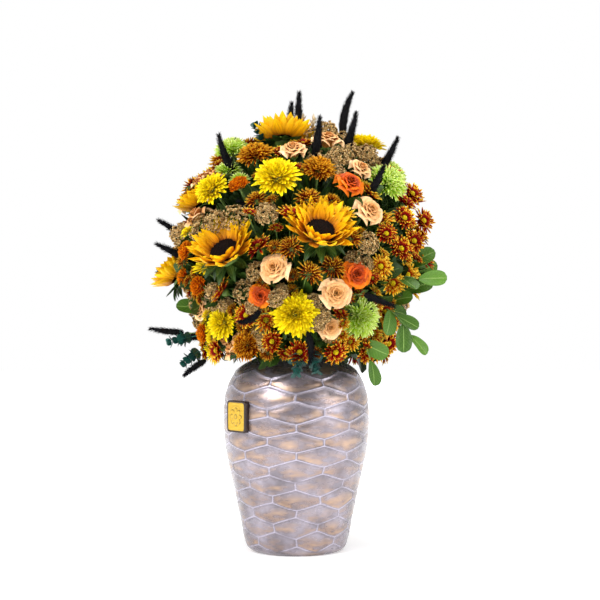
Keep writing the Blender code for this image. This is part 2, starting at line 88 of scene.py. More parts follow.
@dataclass(frozen=True)
class NodeBench:
    """A node tree, with one way to add a node, set it and link it."""

    tree: bpy.types.NodeTree

    def add(
        self, kind: str, *inputs: object, output: str = "", stops: Stops = (), **settings: object
    ) -> Socket:
        """Add one node with its settings and links.

        Args:
            kind: The node's type without its ShaderNode prefix.
            inputs: A value or an output socket for each of the node's first inputs.
            output: The identifier of the output to return; the first one if empty.
            stops: Pairs of a position and a hex colour for a colour ramp.
            settings: The node's attributes, and its inputs by identifier with _ for a space.

        Returns:
            One output of the new node, or the node's first input if it has no output.
        """
        node = self.tree.nodes.new("ShaderNode" + kind)
        sockets = {socket.identifier.replace(" ", "_"): socket for socket in node.inputs}
        for key in settings.keys() - sockets.keys():
            setattr(node, key, settings[key])
        elements = node.color_ramp.elements if stops else ()
        for _ in range(len(stops) - len(elements)):
            elements.new(0.5)
        for element, (position, code) in zip(elements, stops):
            element.position, element.color = position, linear(code)
        named = [(sockets[key], settings[key]) for key in settings.keys() & sockets.keys()]
        for socket, value in [*zip(node.inputs, inputs), *named]:
            if isinstance(value, Socket):
                self.tree.links.new(value, socket)
            else:
                socket.default_value = value
        outputs = {socket.identifier: socket for socket in node.outputs}
        return outputs[output] if output else next(iter([*node.outputs, *node.inputs]))


# ---------------------------------------------------------------- finishes


@dataclass(frozen=True)
class Finish(ABC):
    """A surface finish, made once and shared by every piece that wears it."""

    name: str

    @abstractmethod
    def surface(self, bench: NodeBench) -> Socket:
        """Lay out the nodes and return the shader."""

    def material(self) -> bpy.types.Material:
        """Return the material, made on its first use.

        Returns:
            The material.
        """
        made = bpy.data.materials.get(self.name)
        if made is None:
            made = bpy.data.materials.new(self.name)
            made.use_nodes = True
            made.node_tree.nodes.clear()
            bench = NodeBench(made.node_tree)
            bench.add("OutputMaterial", self.surface(bench))
        return made


@dataclass(frozen=True)
class PetalFinish(Finish):
    """Fresh petal skin: a colour run from base to tip, fine veins and a little difference between petals.

    The petal attribute holds (along, across, chance): 0 at the base and 1 at the tip,
    -1 to 1 across, and one random number for each petal. The edging brings the tip's
    colour down along both edges.
    """

    stops: Stops = ()
    veins: float = 0.25
    spread: float = 0.35
    roughness: float = 0.55
    vein_count: float = 9.0
    glow: float = 0.10
    sheen: float = 0.02
    edging: float = 0.0

    def surface(self, bench: NodeBench) -> Socket:
        """Soft, slightly waxy petal with long dark veins, raised by a quarter of a millimetre.

        Args:
            bench: The material's node tree.

        Returns:
            The surface shader.
        """
        marks = bench.add("Attribute", attribute_name="petal", output="Vector")
        along, across, chance = bench.add("SeparateXYZ", marks).node.outputs
        edge = bench.add("Math", bench.add("Math", across, operation="ABSOLUTE"), 2.5, operation="POWER")
        moved = bench.add("Math", chance, 0.16, along, operation="MULTIPLY_ADD")
        centred = bench.add("Math", moved, 0.08, operation="SUBTRACT")
        shifted = bench.add("Math", edge, self.edging, centred, operation="MULTIPLY_ADD")
        colour = bench.add("ValToRGB", shifted, stops=self.stops)
        veins_at = bench.add(
            "CombineXYZ",
            bench.add("Math", across, self.vein_count, operation="MULTIPLY"),
            bench.add("Math", along, 1.6, operation="MULTIPLY"),
            bench.add("Math", chance, 37.0, operation="MULTIPLY"),
        )
        veins = bench.add("TexNoise", veins_at, Scale=1.0, Detail=2.0, Roughness=0.6)
        dark = bench.add(
            "Math", bench.add("MapRange", veins, 0.62, 0.34, **SMOOTH), self.veins, operation="MULTIPLY"
        )
        shade = linear("#2b1206")
        veined = bench.add("Mix", dark, A_Color=colour, B_Color=shade, blend_type="MULTIPLY", **COLOUR_MIX)
        lift = bench.add("Math", chance, self.spread, 1.0 - self.spread * 0.55, operation="MULTIPLY_ADD")
        return bench.add(
            "BsdfPrincipled",
            Base_Color=bench.add("HueSaturation", Saturation=1.03, Value=lift, Color=veined),
            Roughness=self.roughness,
            Normal=bench.add("Bump", Height=veins, Distance=0.00025, Strength=1.0),
            Specular_IOR_Level=0.18,
            Sheen_Weight=self.sheen,
            Sheen_Roughness=0.5,
            Subsurface_Weight=self.glow,
            Subsurface_Radius=(0.004, 0.002, 0.001),
            Subsurface_Scale=1.0,
        )


@dataclass(frozen=True)
class LeafFinish(Finish):
    """Leaf skin: a pale midrib, slanting side veins and a waxy surface."""

    dark: str = "#33501a"
    light: str = "#6f9a34"
    rib: str = "#a6bd62"
    roughness: float = 0.42

    def surface(self, bench: NodeBench) -> Socket:
        """Waxy green leaf whose side veins run forward from the rib, a third of a millimetre deep.

        Args:
            bench: The material's node tree.

        Returns:
            The surface shader.
        """
        marks = bench.add("Attribute", attribute_name="petal", output="Vector")
        along, across, chance = bench.add("SeparateXYZ", marks).node.outputs
        edge = bench.add("Math", across, operation="ABSOLUTE")
        forward = bench.add("Math", along, 9.0, operation="MULTIPLY")
        slant = bench.add("Math", edge, -2.2, forward, operation="MULTIPLY_ADD")
        turn = bench.add("Math", slant, math.pi, operation="MULTIPLY")
        wave = bench.add("Math", bench.add("Math", turn, operation="SINE"), operation="ABSOLUTE")
        side_vein = bench.add("MapRange", wave, 0.22, 0.02, **SMOOTH)
        rib = bench.add("MapRange", edge, 0.09, 0.02, **SMOOTH)
        place = bench.add("TexCoord", output="Object")
        mottle = bench.add("TexNoise", place, Scale=160.0, Detail=3.0, Roughness=0.6)
        half = bench.add("Math", mottle, 0.45, operation="MULTIPLY")
        mixed = bench.add("Math", chance, 0.7, half, operation="MULTIPLY_ADD", use_clamp=True)
        green = bench.add("Mix", mixed, A_Color=linear(self.dark), B_Color=linear(self.light), **COLOUR_MIX)
        pale = bench.add("Math", side_vein, 0.28, operation="MULTIPLY")
        veined = bench.add("Mix", pale, A_Color=green, B_Color=linear(self.rib), **COLOUR_MIX)
        middle = bench.add("Math", rib, 0.75, operation="MULTIPLY")
        lines = bench.add("Math", side_vein, rib, operation="ADD")
        height = bench.add("Math", mottle, lines, operation="SUBTRACT")
        return bench.add(
            "BsdfPrincipled",
            Base_Color=bench.add("Mix", middle, A_Color=veined, B_Color=linear(self.rib), **COLOUR_MIX),
            Roughness=self.roughness,
            Normal=bench.add("Bump", Height=height, Distance=0.0003, Strength=1.0),
            Specular_IOR_Level=0.3,
            Coat_Weight=0.05,
            Coat_Roughness=0.3,
        )


@dataclass(frozen=True)
class StemFinish(Finish):
    """Cut stem: ribbed green skin with paler streaks."""

    dark: str = "#35501f"
    light: str = "#7b9a48"

    def surface(self, bench: NodeBench) -> Socket:
        """Fibrous skin with streaks a few millimetres long.

        Args:
            bench: The material's node tree.

        Returns:
            The surface shader.
        """
        place = bench.add("TexCoord", output="Object")
        streak_at = bench.add("Mapping", place, Scale=(900.0, 900.0, 120.0))
        streak = bench.add("TexNoise", streak_at, Scale=1.0, Detail=3.0, Roughness=0.6)
        return bench.add(
            "BsdfPrincipled",
            Base_Color=bench.add("ValToRGB", streak, stops=((0.3, self.dark), (0.7, self.light))),
            Roughness=0.6,
            Normal=bench.add("Bump", Height=streak, Distance=0.0002, Strength=1.0),
        )


@dataclass(frozen=True)
class GlazeFinish(Finish):
    """Pearl lustre over pressed scales, with gold laid on by a brush in the middle of each scale. The gold is
    kept to each scale's lower half, which faces up to the light, so it is partly real gilt and partly painted
    light; the seams carry a painted highlight, with painted shade beside them.

    The glaze attribute holds (seam, rise, chance): 1 on a seam and 0 in the open, -1 at
    the foot of a scale and 1 at its head, and one random number for each scale.
    """

    def surface(self, bench: NodeBench) -> Socket:
        """Half-metallic grey-lilac glaze, golden where the brush passed on each scale's lower half (real
        gilt, and painted light where the scale faces up), with a painted highlight on the seams and painted
        shade beside them.

        Args:
            bench: The material's node tree.

        Returns:
            The surface shader.
        """
        marks = bench.add("Attribute", attribute_name="glaze", output="Vector")
        seam, rise, chance = bench.add("SeparateXYZ", marks).node.outputs
        place = bench.add("TexCoord", output="Object")
        cloud = bench.add("TexNoise", place, Scale=26.0, Detail=4.0, Roughness=0.6)
        brush_at = bench.add("Mapping", place, Scale=(34.0, 34.0, 90.0))
        brush = bench.add("TexNoise", brush_at, Scale=1.0, Detail=2.5, Roughness=0.5)
        grain = bench.add("TexNoise", place, Scale=1400.0, Detail=2.0, Roughness=0.5)
        grey = bench.add("ValToRGB", cloud, stops=((0.30, "#6a646b"), (0.50, "#88818b"), (0.72, "#a39ca8")))
        open_middle = bench.add("MapRange", seam, 0.45, 0.02, **SMOOTH)
        # Partly painted light: the real gilt is kept to the lower half of each scale, which faces up into the
        # light, so that half is painted brighter and more golden.
        lit_low_half = bench.add("MapRange", rise, 0.9, -0.3, **SMOOTH)
        amount = bench.add("Math", open_middle, lit_low_half, operation="MULTIPLY")
        stroke = bench.add("Math", chance, 0.14, brush, operation="MULTIPLY_ADD")
        patchy = bench.add("MapRange", stroke, 0.34, 0.80, **SMOOTH)
        gilt_and_light_mask = bench.add("Math", amount, patchy, operation="MULTIPLY", use_clamp=True)
        gold = bench.add("ValToRGB", brush, stops=((0.35, "#785f4c"), (0.52, "#9f8067"), (0.70, "#c2a183")))
        gilt_and_light_share = bench.add("Math", gilt_and_light_mask, 0.78, operation="MULTIPLY")
        gilt_and_light_colour = bench.add("Mix", gilt_and_light_share, A_Color=grey, B_Color=gold, **COLOUR_MIX)
        # Painted shade: a dark grey-brown band (#574d52) just beside each seam stands for the shade next to
        # the raised ridge.
        beside = bench.add("MapRange", seam, 0.04, 0.35, **SMOOTH)
        off_seam = bench.add("MapRange", seam, 0.85, 0.45, **SMOOTH)
        seam_shade_band = bench.add("Math", beside, off_seam, operation="MULTIPLY")
        seam_shade_share = bench.add("Math", seam_shade_band, 0.25, operation="MULTIPLY")
        seam_shaded = bench.add("Mix", seam_shade_share, A_Color=gilt_and_light_colour, B_Color=linear("#574d52"), **COLOUR_MIX)
        # Painted highlight: the pale lilac (#cdc6da) on the seams stands for light catching the raised
        # ridges, and the worn mask below is this painted highlight; the brush noise only breaks it up.
        on_seam = bench.add("MapRange", seam, 0.45, 0.92, **SMOOTH)
        seam_highlight_breakup = bench.add("MapRange", brush, 0.22, 0.50, **SMOOTH)
        worn = bench.add("Math", on_seam, seam_highlight_breakup, operation="MULTIPLY")
        pale = bench.add("Math", worn, 0.60, operation="MULTIPLY")
        soft = bench.add("Math", brush, 0.7, operation="MULTIPLY")
        height = bench.add("Math", grain, 0.2, soft, operation="MULTIPLY_ADD")
        return bench.add(
            "BsdfPrincipled",
            Base_Color=bench.add("Mix", pale, A_Color=seam_shaded, B_Color=linear("#cdc6da"), **COLOUR_MIX),
            Roughness=bench.add("Math", brush, 0.25, 0.15, operation="MULTIPLY_ADD"),
            Metallic=bench.add("Math", gilt_and_light_mask, 0.3, 0.55, operation="MULTIPLY_ADD"),
            Normal=bench.add("Bump", Height=height, Distance=0.0009, Strength=1.0),
            Coat_Weight=0.30,
            Coat_Roughness=0.22,
        )


@dataclass(frozen=True)
class FoamFinish(Finish):
    """Wet florist's foam: a dark green crumb."""

    def surface(self, bench: NodeBench) -> Socket:
        """Fine open cells about half a millimetre across.

        Args:
            bench: The material's node tree.

        Returns:
            The surface shader.
        """
        place = bench.add("TexCoord", output="Object")
        crumb = bench.add("TexNoise", place, Scale=1800.0, Detail=3.0, Roughness=0.7)
        return bench.add(
            "BsdfPrincipled",
            Base_Color=bench.add("ValToRGB", crumb, stops=((0.3, "#0d1c0a"), (0.7, "#294521"))),
            Roughness=0.95,
            Normal=bench.add("Bump", Height=crumb, Distance=0.0008, Strength=1.0),
        )


@dataclass(frozen=True)
class LacquerFinish(Finish):
    """Dark lacquer on the plaque's edge, with brush wear."""

    def surface(self, bench: NodeBench) -> Socket:
        """Near-black brown lacquer that is a little worn and dusty.

        Args:
            bench: The material's node tree.

        Returns:
            The surface shader.
        """
        place = bench.add("TexCoord", output="Object")
        wear = bench.add("TexNoise", place, Scale=320.0, Detail=4.0, Roughness=0.6)
        return bench.add(
            "BsdfPrincipled",
            Base_Color=bench.add(
                "ValToRGB", wear, stops=((0.35, "#1b1110"), (0.60, "#2c1a14"), (0.80, "#5a3d20"))
            ),
            Roughness=bench.add("Math", wear, 0.3, 0.25, operation="MULTIPLY_ADD"),
            Normal=bench.add("Bump", Height=wear, Distance=0.0002, Strength=1.0),
        )


@dataclass(frozen=True)
class GoldFinish(Finish):
    """Polished gold leaf with dark paint left in its cuts.

    The glaze attribute holds (paint, 0, 0): 1 where the dark paint is.
    """

    def surface(self, bench: NodeBench) -> Socket:
        """Brushed gold with fine level scratches.

        Args:
            bench: The material's node tree.

        Returns:
            The surface shader.
        """
        marks = bench.add("Attribute", attribute_name="glaze", output="Vector")
        paint = bench.add("SeparateXYZ", marks)
        place = bench.add("TexCoord", output="Object")
        scratch_at = bench.add("Mapping", place, Scale=(60.0, 60.0, 3000.0))
        scratch = bench.add("TexNoise", scratch_at, Scale=1.0, Detail=3.0, Roughness=0.6)
        gold = bench.add("ValToRGB", scratch, stops=((0.3, "#bf952a"), (0.55, "#dab23c"), (0.8, "#f0d272")))
        return bench.add(
            "BsdfPrincipled",
            Base_Color=bench.add("Mix", paint, A_Color=gold, B_Color=linear("#2a1a12"), **COLOUR_MIX),
            Roughness=bench.add("Math", scratch, 0.2, 0.22, operation="MULTIPLY_ADD"),
            Metallic=bench.add("Math", paint, -0.8, 0.85, operation="MULTIPLY_ADD"),
            Normal=bench.add("Bump", Height=scratch, Distance=0.00012, Strength=1.0),
        )


@dataclass(frozen=True)
class PaperFinish(Finish):
    """The white sheet that the vase stands on: lit from below, more strongly away from the vase."""

    def surface(self, bench: NodeBench) -> Socket:
        """Matt white translucent sheet with hardly any grain.

        Args:
            bench: The material's node tree.

        Returns:
            The surface shader.
        """
        place = bench.add("TexCoord", output="Object")
        grain = bench.add("TexNoise", place, Scale=400.0, Detail=2.0, Roughness=0.5)
        far = bench.add("VectorMath", place, operation="LENGTH", output="Value")
        return bench.add(
            "BsdfPrincipled",
            Base_Color=bench.add("ValToRGB", grain, stops=((0.0, "#f6f6f6"), (1.0, "#fdfdfd"))),
            Roughness=0.9,
            Emission_Color=(1.0, 1.0, 1.0, 1.0),
            Emission_Strength=bench.add("MapRange", far, 0.15, 2.2, 0.30, 0.95),
        )


# ---------------------------------------------------------------- mesh arrays


@dataclass
class Patch:
    """Arrays of one finish: points, quads and three marks for each point."""

    points: np.ndarray
    quads: np.ndarray
    marks: np.ndarray
    finish: Finish


def grid_quads(count: int, rows: int, cols: int, closed: bool = False) -> np.ndarray:
    """Number the quads of several equal grids.

    Args:
        count: How many grids follow one another.
        rows: Points along each grid.
        cols: Points across each grid.
        closed: Whether the last column meets the first.

    Returns:
        Quads as an array of four point numbers each, wound across and then along.
    """
    row = np.arange(rows - 1)[:, None]
    col = np.arange(cols if closed else cols - 1)[None, :]
    after = (col + 1) % cols
    here, above = row * cols, (row + 1) * cols
    quad = np.stack([here + col, here + after, above + after, above + col], -1)
    first = np.arange(count)[:, None, None] * rows * cols
    return (quad.reshape(1, -1, 4) + first).reshape(-1, 4)


def unit(vectors: np.ndarray) -> np.ndarray:
    """Scale vectors to a length of one."""
    return vectors / np.maximum(np.linalg.norm(vectors, axis=-1, keepdims=True), 1e-12)


def spread(value: Measure, count: int) -> np.ndarray:
    """Repeat a single number, or pass an array of that many through."""
    return np.broadcast_to(np.asarray(value, float), (count,))


@dataclass(frozen=True)
class Outline:
    """The width of a petal or leaf along its length.

    The share of the full width is (v + start)^rise * (1 - v)^fall, scaled to a
    greatest value of one: a small fall gives a round tip and a large one a point.
    """

    start: float = 0.05
    rise: float = 0.6
    fall: float = 0.5

    def shares(self, v: np.ndarray) -> np.ndarray:
        """Return the width shares at the given places from base to tip."""
        raw = (v + self.start) ** self.rise * np.maximum(1 - v, 0.004) ** self.fall
        return raw / raw.max()


@dataclass
class Places:
    """Where blades start: origins, the ways they leave and the ways their upper faces look."""

    origin: np.ndarray
    forward: np.ndarray
    normal: np.ndarray

    def __len__(self) -> int:
        """Return how many places there are."""
        return len(self.origin)


def blades(
    at: Places,
    length: Measure,
    width: Measure,
    rise: Measure,
    curl: Measure,
    cup: Measure,
    outline: Outline,
    finish: Finish,
    rng: np.random.Generator,
    rows: int = 6,
    cols: int = 5,
    ruffle: float = 0.0,
) -> Patch:
    """Make thin curved sheets: petals, bracts, bristles and leaves.

    Each sheet's spine leaves its origin at the angle rise above the forward way and
    turns by curl towards its tip, as v to the power 1.4. Across the spine the sheet is
    as wide as its outline says, and its edges lift by cup times the half width times
    u squared. A ruffle adds a small wave along both edges.

    Args:
        at: The places that the sheets grow from.
        length: Spine length, one number or one each.
        width: Greatest width, one number or one each.
        rise: First angle above the forward way, in radians.
        curl: Turn from base to tip, in radians.
        cup: Edge lift as a share of the half width.
        outline: The width along the length.
        finish: The sheets' finish.
        rng: Source of the sheets' random numbers.
        rows: Points along each sheet.
        cols: Points across each sheet.
        ruffle: Height of the edge wave as a share of the width.

    Returns:
        One patch with all the sheets.
    """
    count = len(at)
    v = np.linspace(0, 1, rows)
    u = np.linspace(-1, 1, cols)
    length, width, rise, curl, cup = (spread(item, count) for item in (length, width, rise, curl, cup))
    angle = rise[:, None] + curl[:, None] * v[None, :] ** 1.4
    middle = (angle[:, 1:] + angle[:, :-1]) / 2
    step = (length / (rows - 1))[:, None]
    start = np.zeros((count, 1))
    run = np.concatenate([start, np.cumsum(np.cos(middle) * step, axis=1)], axis=1)
    climb = np.concatenate([start, np.cumsum(np.sin(middle) * step, axis=1)], axis=1)
    forward, normal = at.forward[:, None, :], at.normal[:, None, :]
    spine = at.origin[:, None, :] + run[..., None] * forward + climb[..., None] * normal
    lift_way = -np.sin(angle)[..., None] * forward + np.cos(angle)[..., None] * normal
    side = np.cross(at.forward, at.normal)[:, None, None, :]
    half = width[:, None] * outline.shares(v)[None, :] / 2
    phase = rng.uniform(0, 2 * math.pi, (count, 1, 1))
    wave = np.sin(v[None, :, None] * 9 + phase + u[None, None, :] * 1.5) * np.abs(u) ** 2
    lift = cup[:, None, None] * half[..., None] * u**2 + ruffle * half[..., None] * wave
    points = (
        spine[:, :, None, :]
        + side * (half[..., None] * u)[..., None]
        + lift_way[:, :, None, :] * lift[..., None]
    )
    chance = np.broadcast_to(rng.uniform(0, 1, (count, 1, 1)), (count, rows, cols))
    along = np.broadcast_to(v[None, :, None], chance.shape)
    marks = np.stack([along, np.broadcast_to(u, chance.shape), chance], -1)
    return Patch(points.reshape(-1, 3), grid_quads(count, rows, cols), marks.reshape(-1, 3), finish)


def studs(
    centre: np.ndarray,
    way: np.ndarray,
    radius: Measure,
    height: Measure,
    finish: Finish,
    rng: np.random.Generator,
    sides: int = 6,
) -> Patch:
    """Make small rounded buds: each is a profile of four rings turned about its own way, closed to a point.

    Args:
        centre: The middles of the buds' feet.
        way: The ways that the buds point.
        radius: Foot radius, one number or one each.
        height: Bud height, one number or one each.
        finish: The buds' finish.
        rng: Source of the buds' random numbers.
        sides: Corners round each bud.

    Returns:
        One patch with all the buds.
    """
    count = len(centre)
    radius, height = spread(radius, count), spread(height, count)
    shares = np.array([0.85, 1.0, 0.72, 0.0])
    rises = np.array([0.0, 0.45, 0.85, 1.0])
    helper = np.where(np.abs(way[:, 2:3]) < 0.9, [[0.0, 0.0, 1.0]], [[1.0, 0.0, 0.0]])
    side = unit(np.cross(helper, way))
    other = np.cross(way, side)
    angle = np.arange(sides) * 2 * math.pi / sides
    ring = side[:, None, :] * np.cos(angle)[None, :, None] + other[:, None, :] * np.sin(angle)[None, :, None]
    points = (
        centre[:, None, None, :]
        + way[:, None, None, :] * (height[:, None] * rises)[:, :, None, None]
        + ring[:, None, :, :] * (radius[:, None] * shares)[:, :, None, None]
    )
    chance = np.broadcast_to(rng.uniform(0, 1, (count, 1, 1)), (count, 4, sides))
    along = np.broadcast_to(rises[None, :, None], chance.shape)
    marks = np.stack([along, np.zeros(chance.shape), chance], -1)
    return Patch(points.reshape(-1, 3), grid_quads(count, 4, sides, True), marks.reshape(-1, 3), finish)


def tube(path: np.ndarray, radius: np.ndarray, sides: int, finish: Finish, chance: float = 0.5) -> Patch:
    """Carry a round section along a path.

    The ring at each point stands across the path's own direction. Both ends close to a point.

    Args:
        path: Points along the middle.
        radius: The radius at each point.
        sides: Corners round the section.
        finish: The tube's finish.
        chance: The tube's own number for its finish.

    Returns:
        One patch.
    """
    way = unit(np.gradient(path, axis=0))
    helper = np.array([0.31, 0.87, 0.38])
    side = unit(np.cross(way, helper))
    other = np.cross(way, side)
    angle = np.arange(sides) * 2 * math.pi / sides
    radius = np.concatenate([[0.0], radius[1:-1], [0.0]])
    ring = side[:, None, :] * np.cos(angle)[None, :, None] + other[:, None, :] * np.sin(angle)[None, :, None]
    points = path[:, None, :] + ring * radius[:, None, None]
    along = np.broadcast_to(np.linspace(0, 1, len(path))[:, None], points.shape[:2])
    marks = np.stack([along, np.zeros_like(along), np.full_like(along, chance)], -1)
    return Patch(points.reshape(-1, 3), grid_quads(1, len(path), sides, True), marks.reshape(-1, 3), finish)


def bezier(
    first: np.ndarray, leave: np.ndarray, arrive: np.ndarray, last: np.ndarray, count: int
) -> np.ndarray:
    """Sample a cubic curve through two ends with a handle point for each."""
    t = np.linspace(0, 1, count)[:, None]
    return (1 - t) ** 3 * first + 3 * (1 - t) ** 2 * t * leave + 3 * (1 - t) * t**2 * arrive + t**3 * last


def make_piece(name: str, patches: list[Patch], attribute: str = "petal") -> bpy.types.Object:
    """Join patches into one mesh object that rides on the root body.

    Args:
        name: The piece's name.
        patches: The patches to join; each finish gets its own material slot.
        attribute: The name of the vector attribute that holds the marks.

    Returns:
        The new object, at the origin, with its place in its mesh.
    """
    starts = np.cumsum([0] + [len(patch.points) for patch in patches])[:-1]
    points = np.concatenate([patch.points for patch in patches])
    quads = np.concatenate([patch.quads + start for patch, start in zip(patches, starts)])
    finishes = list(dict.fromkeys(patch.finish for patch in patches))
    slots = np.concatenate([np.full(len(patch.quads), finishes.index(patch.finish)) for patch in patches])
    mesh = bpy.data.meshes.new(name)
    mesh.vertices.add(len(points))
    mesh.vertices.foreach_set("co", points.astype(np.float32).ravel())
    mesh.loops.add(quads.size)
    mesh.loops.foreach_set("vertex_index", quads.astype(np.int32).ravel())
    mesh.polygons.add(len(quads))
    mesh.polygons.foreach_set("loop_start", np.arange(0, quads.size, 4, dtype=np.int32))
    for finish in finishes:
        mesh.materials.append(finish.material())
    mesh.polygons.foreach_set("material_index", slots.astype(np.int32))
    mesh.update(calc_edges=True)
    marks = mesh.attributes.new(attribute, "FLOAT_VECTOR", "POINT")
    values = np.concatenate([patch.marks for patch in patches])
    marks.data.foreach_set("vector", values.astype(np.float32).ravel())
    mesh.shade_smooth()
    piece = bpy.data.objects.new(name, mesh)
    bpy.context.collection.objects.link(piece)
    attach(piece, "root")
    LOG.info("%s: %d points, %d quads", name, len(points), len(quads))
    return piece


# ---------------------------------------------------------------- reading the frame


@dataclass(frozen=True)
class Pose:
    """One head: its middle, the way it faces, its radius, and where its stem starts and first points."""

    centre: np.ndarray
    face: np.ndarray
    radius: float
    foot: np.ndarray
    foot_way: np.ndarray

    def axes(self) -> tuple[np.ndarray, np.ndarray]:
        """Return the level way and the uphill way in the head's own plane.

        Returns:
            The level way and the uphill way.
        """
        helper = np.array([0.0, 0.0, 1.0]) if abs(self.face[2]) < 0.98 else np.array([0.0, 1.0, 0.0])
        side = unit(np.cross(helper, self.face))
        return side, np.cross(self.face, side)

    def around(self, azimuth: np.ndarray) -> np.ndarray:
        """Return the ways out from the middle at the given angles from the level way."""
        side, uphill = self.axes()
        return np.cos(azimuth)[:, None] * side + np.sin(azimuth)[:, None] * uphill

    def places(self, azimuth: np.ndarray, radius: Measure, height: Measure) -> Places:
        """Return places on a ring round the middle, looking outwards.

        Args:
            azimuth: Angles in the head's plane.
            radius: Distance from the middle, in metres.
            height: Height towards the face, in metres.

        Returns:
            The places, one for each angle.
        """
        out = self.around(azimuth)
        count = len(azimuth)
        risen = self.face * spread(height, count)[:, None]
        origin = self.centre + out * spread(radius, count)[:, None] + risen
        return Places(origin, out, np.broadcast_to(self.face, out.shape))


class Frame:
    """Reads heads and boxes from the CAD solids."""

    def __init__(self) -> None:
        """Find the point that all the stems leave from, above the vase's lip."""
        self.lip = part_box("vase")[1][2]
        self.middle = np.array([0.0, 0.0, self.lip + CENTRE_RISE])

    def solid(self, node: str) -> tuple[np.ndarray, np.ndarray]:
        """Return a node's corner points and edges, with points that meet made one.

        Args:
            node: The CAD node.

        Returns:
            Its corner points, and its edges as pairs of point numbers.
        """
        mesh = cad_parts[node].data
        points = np.empty(len(mesh.vertices) * 3)
        mesh.vertices.foreach_get("co", points)
        edges = np.empty(len(mesh.edges) * 2, dtype=np.int64)
        mesh.edges.foreach_get("vertices", edges)
        whole, number = np.unique(np.round(points.reshape(-1, 3), 5), axis=0, return_inverse=True)
        return whole, number.reshape(-1)[edges.reshape(-1, 2)]

    def clusters(self, node: str) -> list[np.ndarray]:
        """Return the points of each head of a node, which are the loose parts beyond the stems' fork.

        Args:
            node: The CAD node.

        Returns:
            One array of points for each head, from right to left.
        """
        points, edges = self.solid(node)
        beyond = np.linalg.norm(points - self.middle, axis=1) > HEADS_BEYOND
        kept = edges[beyond[edges].all(axis=1)]
        label = np.arange(len(points))
        while True:
            least = np.minimum(label[kept[:, 0]], label[kept[:, 1]])
            fresh = label.copy()
            np.minimum.at(fresh, kept[:, 0], least)
            np.minimum.at(fresh, kept[:, 1], least)
            if (fresh == label).all():
                break
            label = fresh
        names, sizes = np.unique(label[beyond], return_counts=True)
        found = [self.head_only(points[beyond & (label == name)]) for name in names[sizes > 12]]
        return sorted(found, key=lambda group: -group[:, 0].mean())

    def head_only(self, points: np.ndarray) -> np.ndarray:
        """Leave out the ring where the stem bends, nearest the middle and apart from the head.

        Args:
            points: The head's points.

        Returns:
            The head's points without the ring.
        """
        order = np.argsort(np.linalg.norm(points - self.middle, axis=1))
        near = np.linalg.norm(points[order[:9]] - self.middle, axis=1)
        return points[order[int(np.argmax(np.diff(near))) + 1 :]]

    def stem_way(self, node: str) -> np.ndarray:
        """Return the way that a node's main stem leaves the middle.

        Args:
            node: The CAD node.

        Returns:
            A unit vector.
        """
        points, _ = self.solid(node)
        near = points[np.linalg.norm(points - self.middle, axis=1) < 0.052]
        return unit(near.mean(axis=0) - self.middle)

    def rim_poses(self, node: str, rim_share: float, rim_height: float) -> list[Pose]:
        """Read each round head of a node from its widest ring.

        The points far from the head's middle lie on its rim. The way in which they
        spread least is the way the head faces.

        Args:
            node: The CAD node.
            rim_share: The rim's radius as a share of the head's radius.
            rim_height: The rim's height above the head's middle, as the same share.

        Returns:
            One pose for each head.
        """
        way = self.stem_way(node)
        poses = []
        for points in self.clusters(node):
            far = np.linalg.norm(points - points.mean(axis=0), axis=1)
            rim = points[far > RIM_FROM * far.max()]
            middle = rim.mean(axis=0)
            face = np.linalg.svd(rim - middle)[2][2]
            face = face * np.sign(face @ (middle - self.middle))
            offsets = rim - middle
            flat = offsets - np.outer(offsets @ face, face)
            radius = np.linalg.norm(flat, axis=1).mean() / rim_share
            centre = middle - face * rim_height * radius
            poses.append(self.rooted(centre, face, radius, way))
        return poses

    def spike_poses(self, node: str, length: float) -> list[Pose]:
        """Read each long head of a node from its tip, facing along itself.

        Args:
            node: The CAD node.
            length: The head's length, from which its middle is found.

        Returns:
            One pose for each head.
        """
        way = self.stem_way(node)
        poses = []
        for points in self.clusters(node):
            far = np.linalg.norm(points - self.middle, axis=1)
            tip = points[far > far.max() - 0.0005].mean(axis=0)
            face = unit(tip - self.middle)
            poses.append(self.rooted(tip - face * length / 2, face, length / 2, way))
        return poses

    def rooted(self, centre: np.ndarray, face: np.ndarray, radius: float, way: np.ndarray) -> Pose:
        """Join a head to its stem: straight over the root for the main one, forked for the others.

        Args:
            centre: The head's middle.
            face: The way the head faces.
            radius: The head's radius.
            way: The way that the main stem leaves the middle.

        Returns:
            The pose with its stem.
        """
        straight = unit(centre - self.middle) @ way > 0.9985
        foot = self.middle + way * (0.045 if straight else FORK_RADIUS)
        return Pose(centre, face, radius, foot, way)


# ---------------------------------------------------------------- flowers

STEM = StemFinish("cut stem skin")
LEAF_DARK = LeafFinish("shaded leaf skin", "#14240c", "#365418", "#5f7a34")
LEAF_BRIGHT = LeafFinish("fresh leaf skin", "#2c4c12", "#557f24", "#86a552")
LEAF_GREY = LeafFinish("grey eucalyptus skin", "#3c4f3c", "#73876a", "#9fae90", 0.55)
LEAF_TEAL = LeafFinish("dyed eucalyptus skin", "#0b2a27", "#1f5a50", "#2f7466", 0.38)


@dataclass
class Bloom(ABC):
    """A flower of one kind, grown at a pose."""

    rim_share = 0.97
    rim_height = 0.11
    depth = 0.45
    stem_radius: float = 0.0022
    rows: int = 6
    cols: int = 5

    def stem(self, pose: Pose) -> Patch:
        """Run the stem from its foot, bending at the end to meet the head from behind.

        Args:
            pose: The head's place, face and size.

        Returns:
            One patch.
        """
        base = pose.centre - pose.face * pose.radius * self.depth
        reach = np.linalg.norm(base - pose.foot)
        toward = unit(base - pose.foot)
        leave = pose.foot + unit(toward * 0.7 + pose.foot_way * 0.3) * reach * 0.4
        path = bezier(pose.foot, leave, base - pose.face * pose.radius * 0.6, base + pose.face * 0.002, 10)
        radius = np.linspace(self.stem_radius, self.stem_radius * 0.85, 10)
        return tube(path, radius, 7, STEM)

    @abstractmethod
    def grow(self, pose: Pose, rng: np.random.Generator) -> list[Patch]:
        """Return the head's patches."""


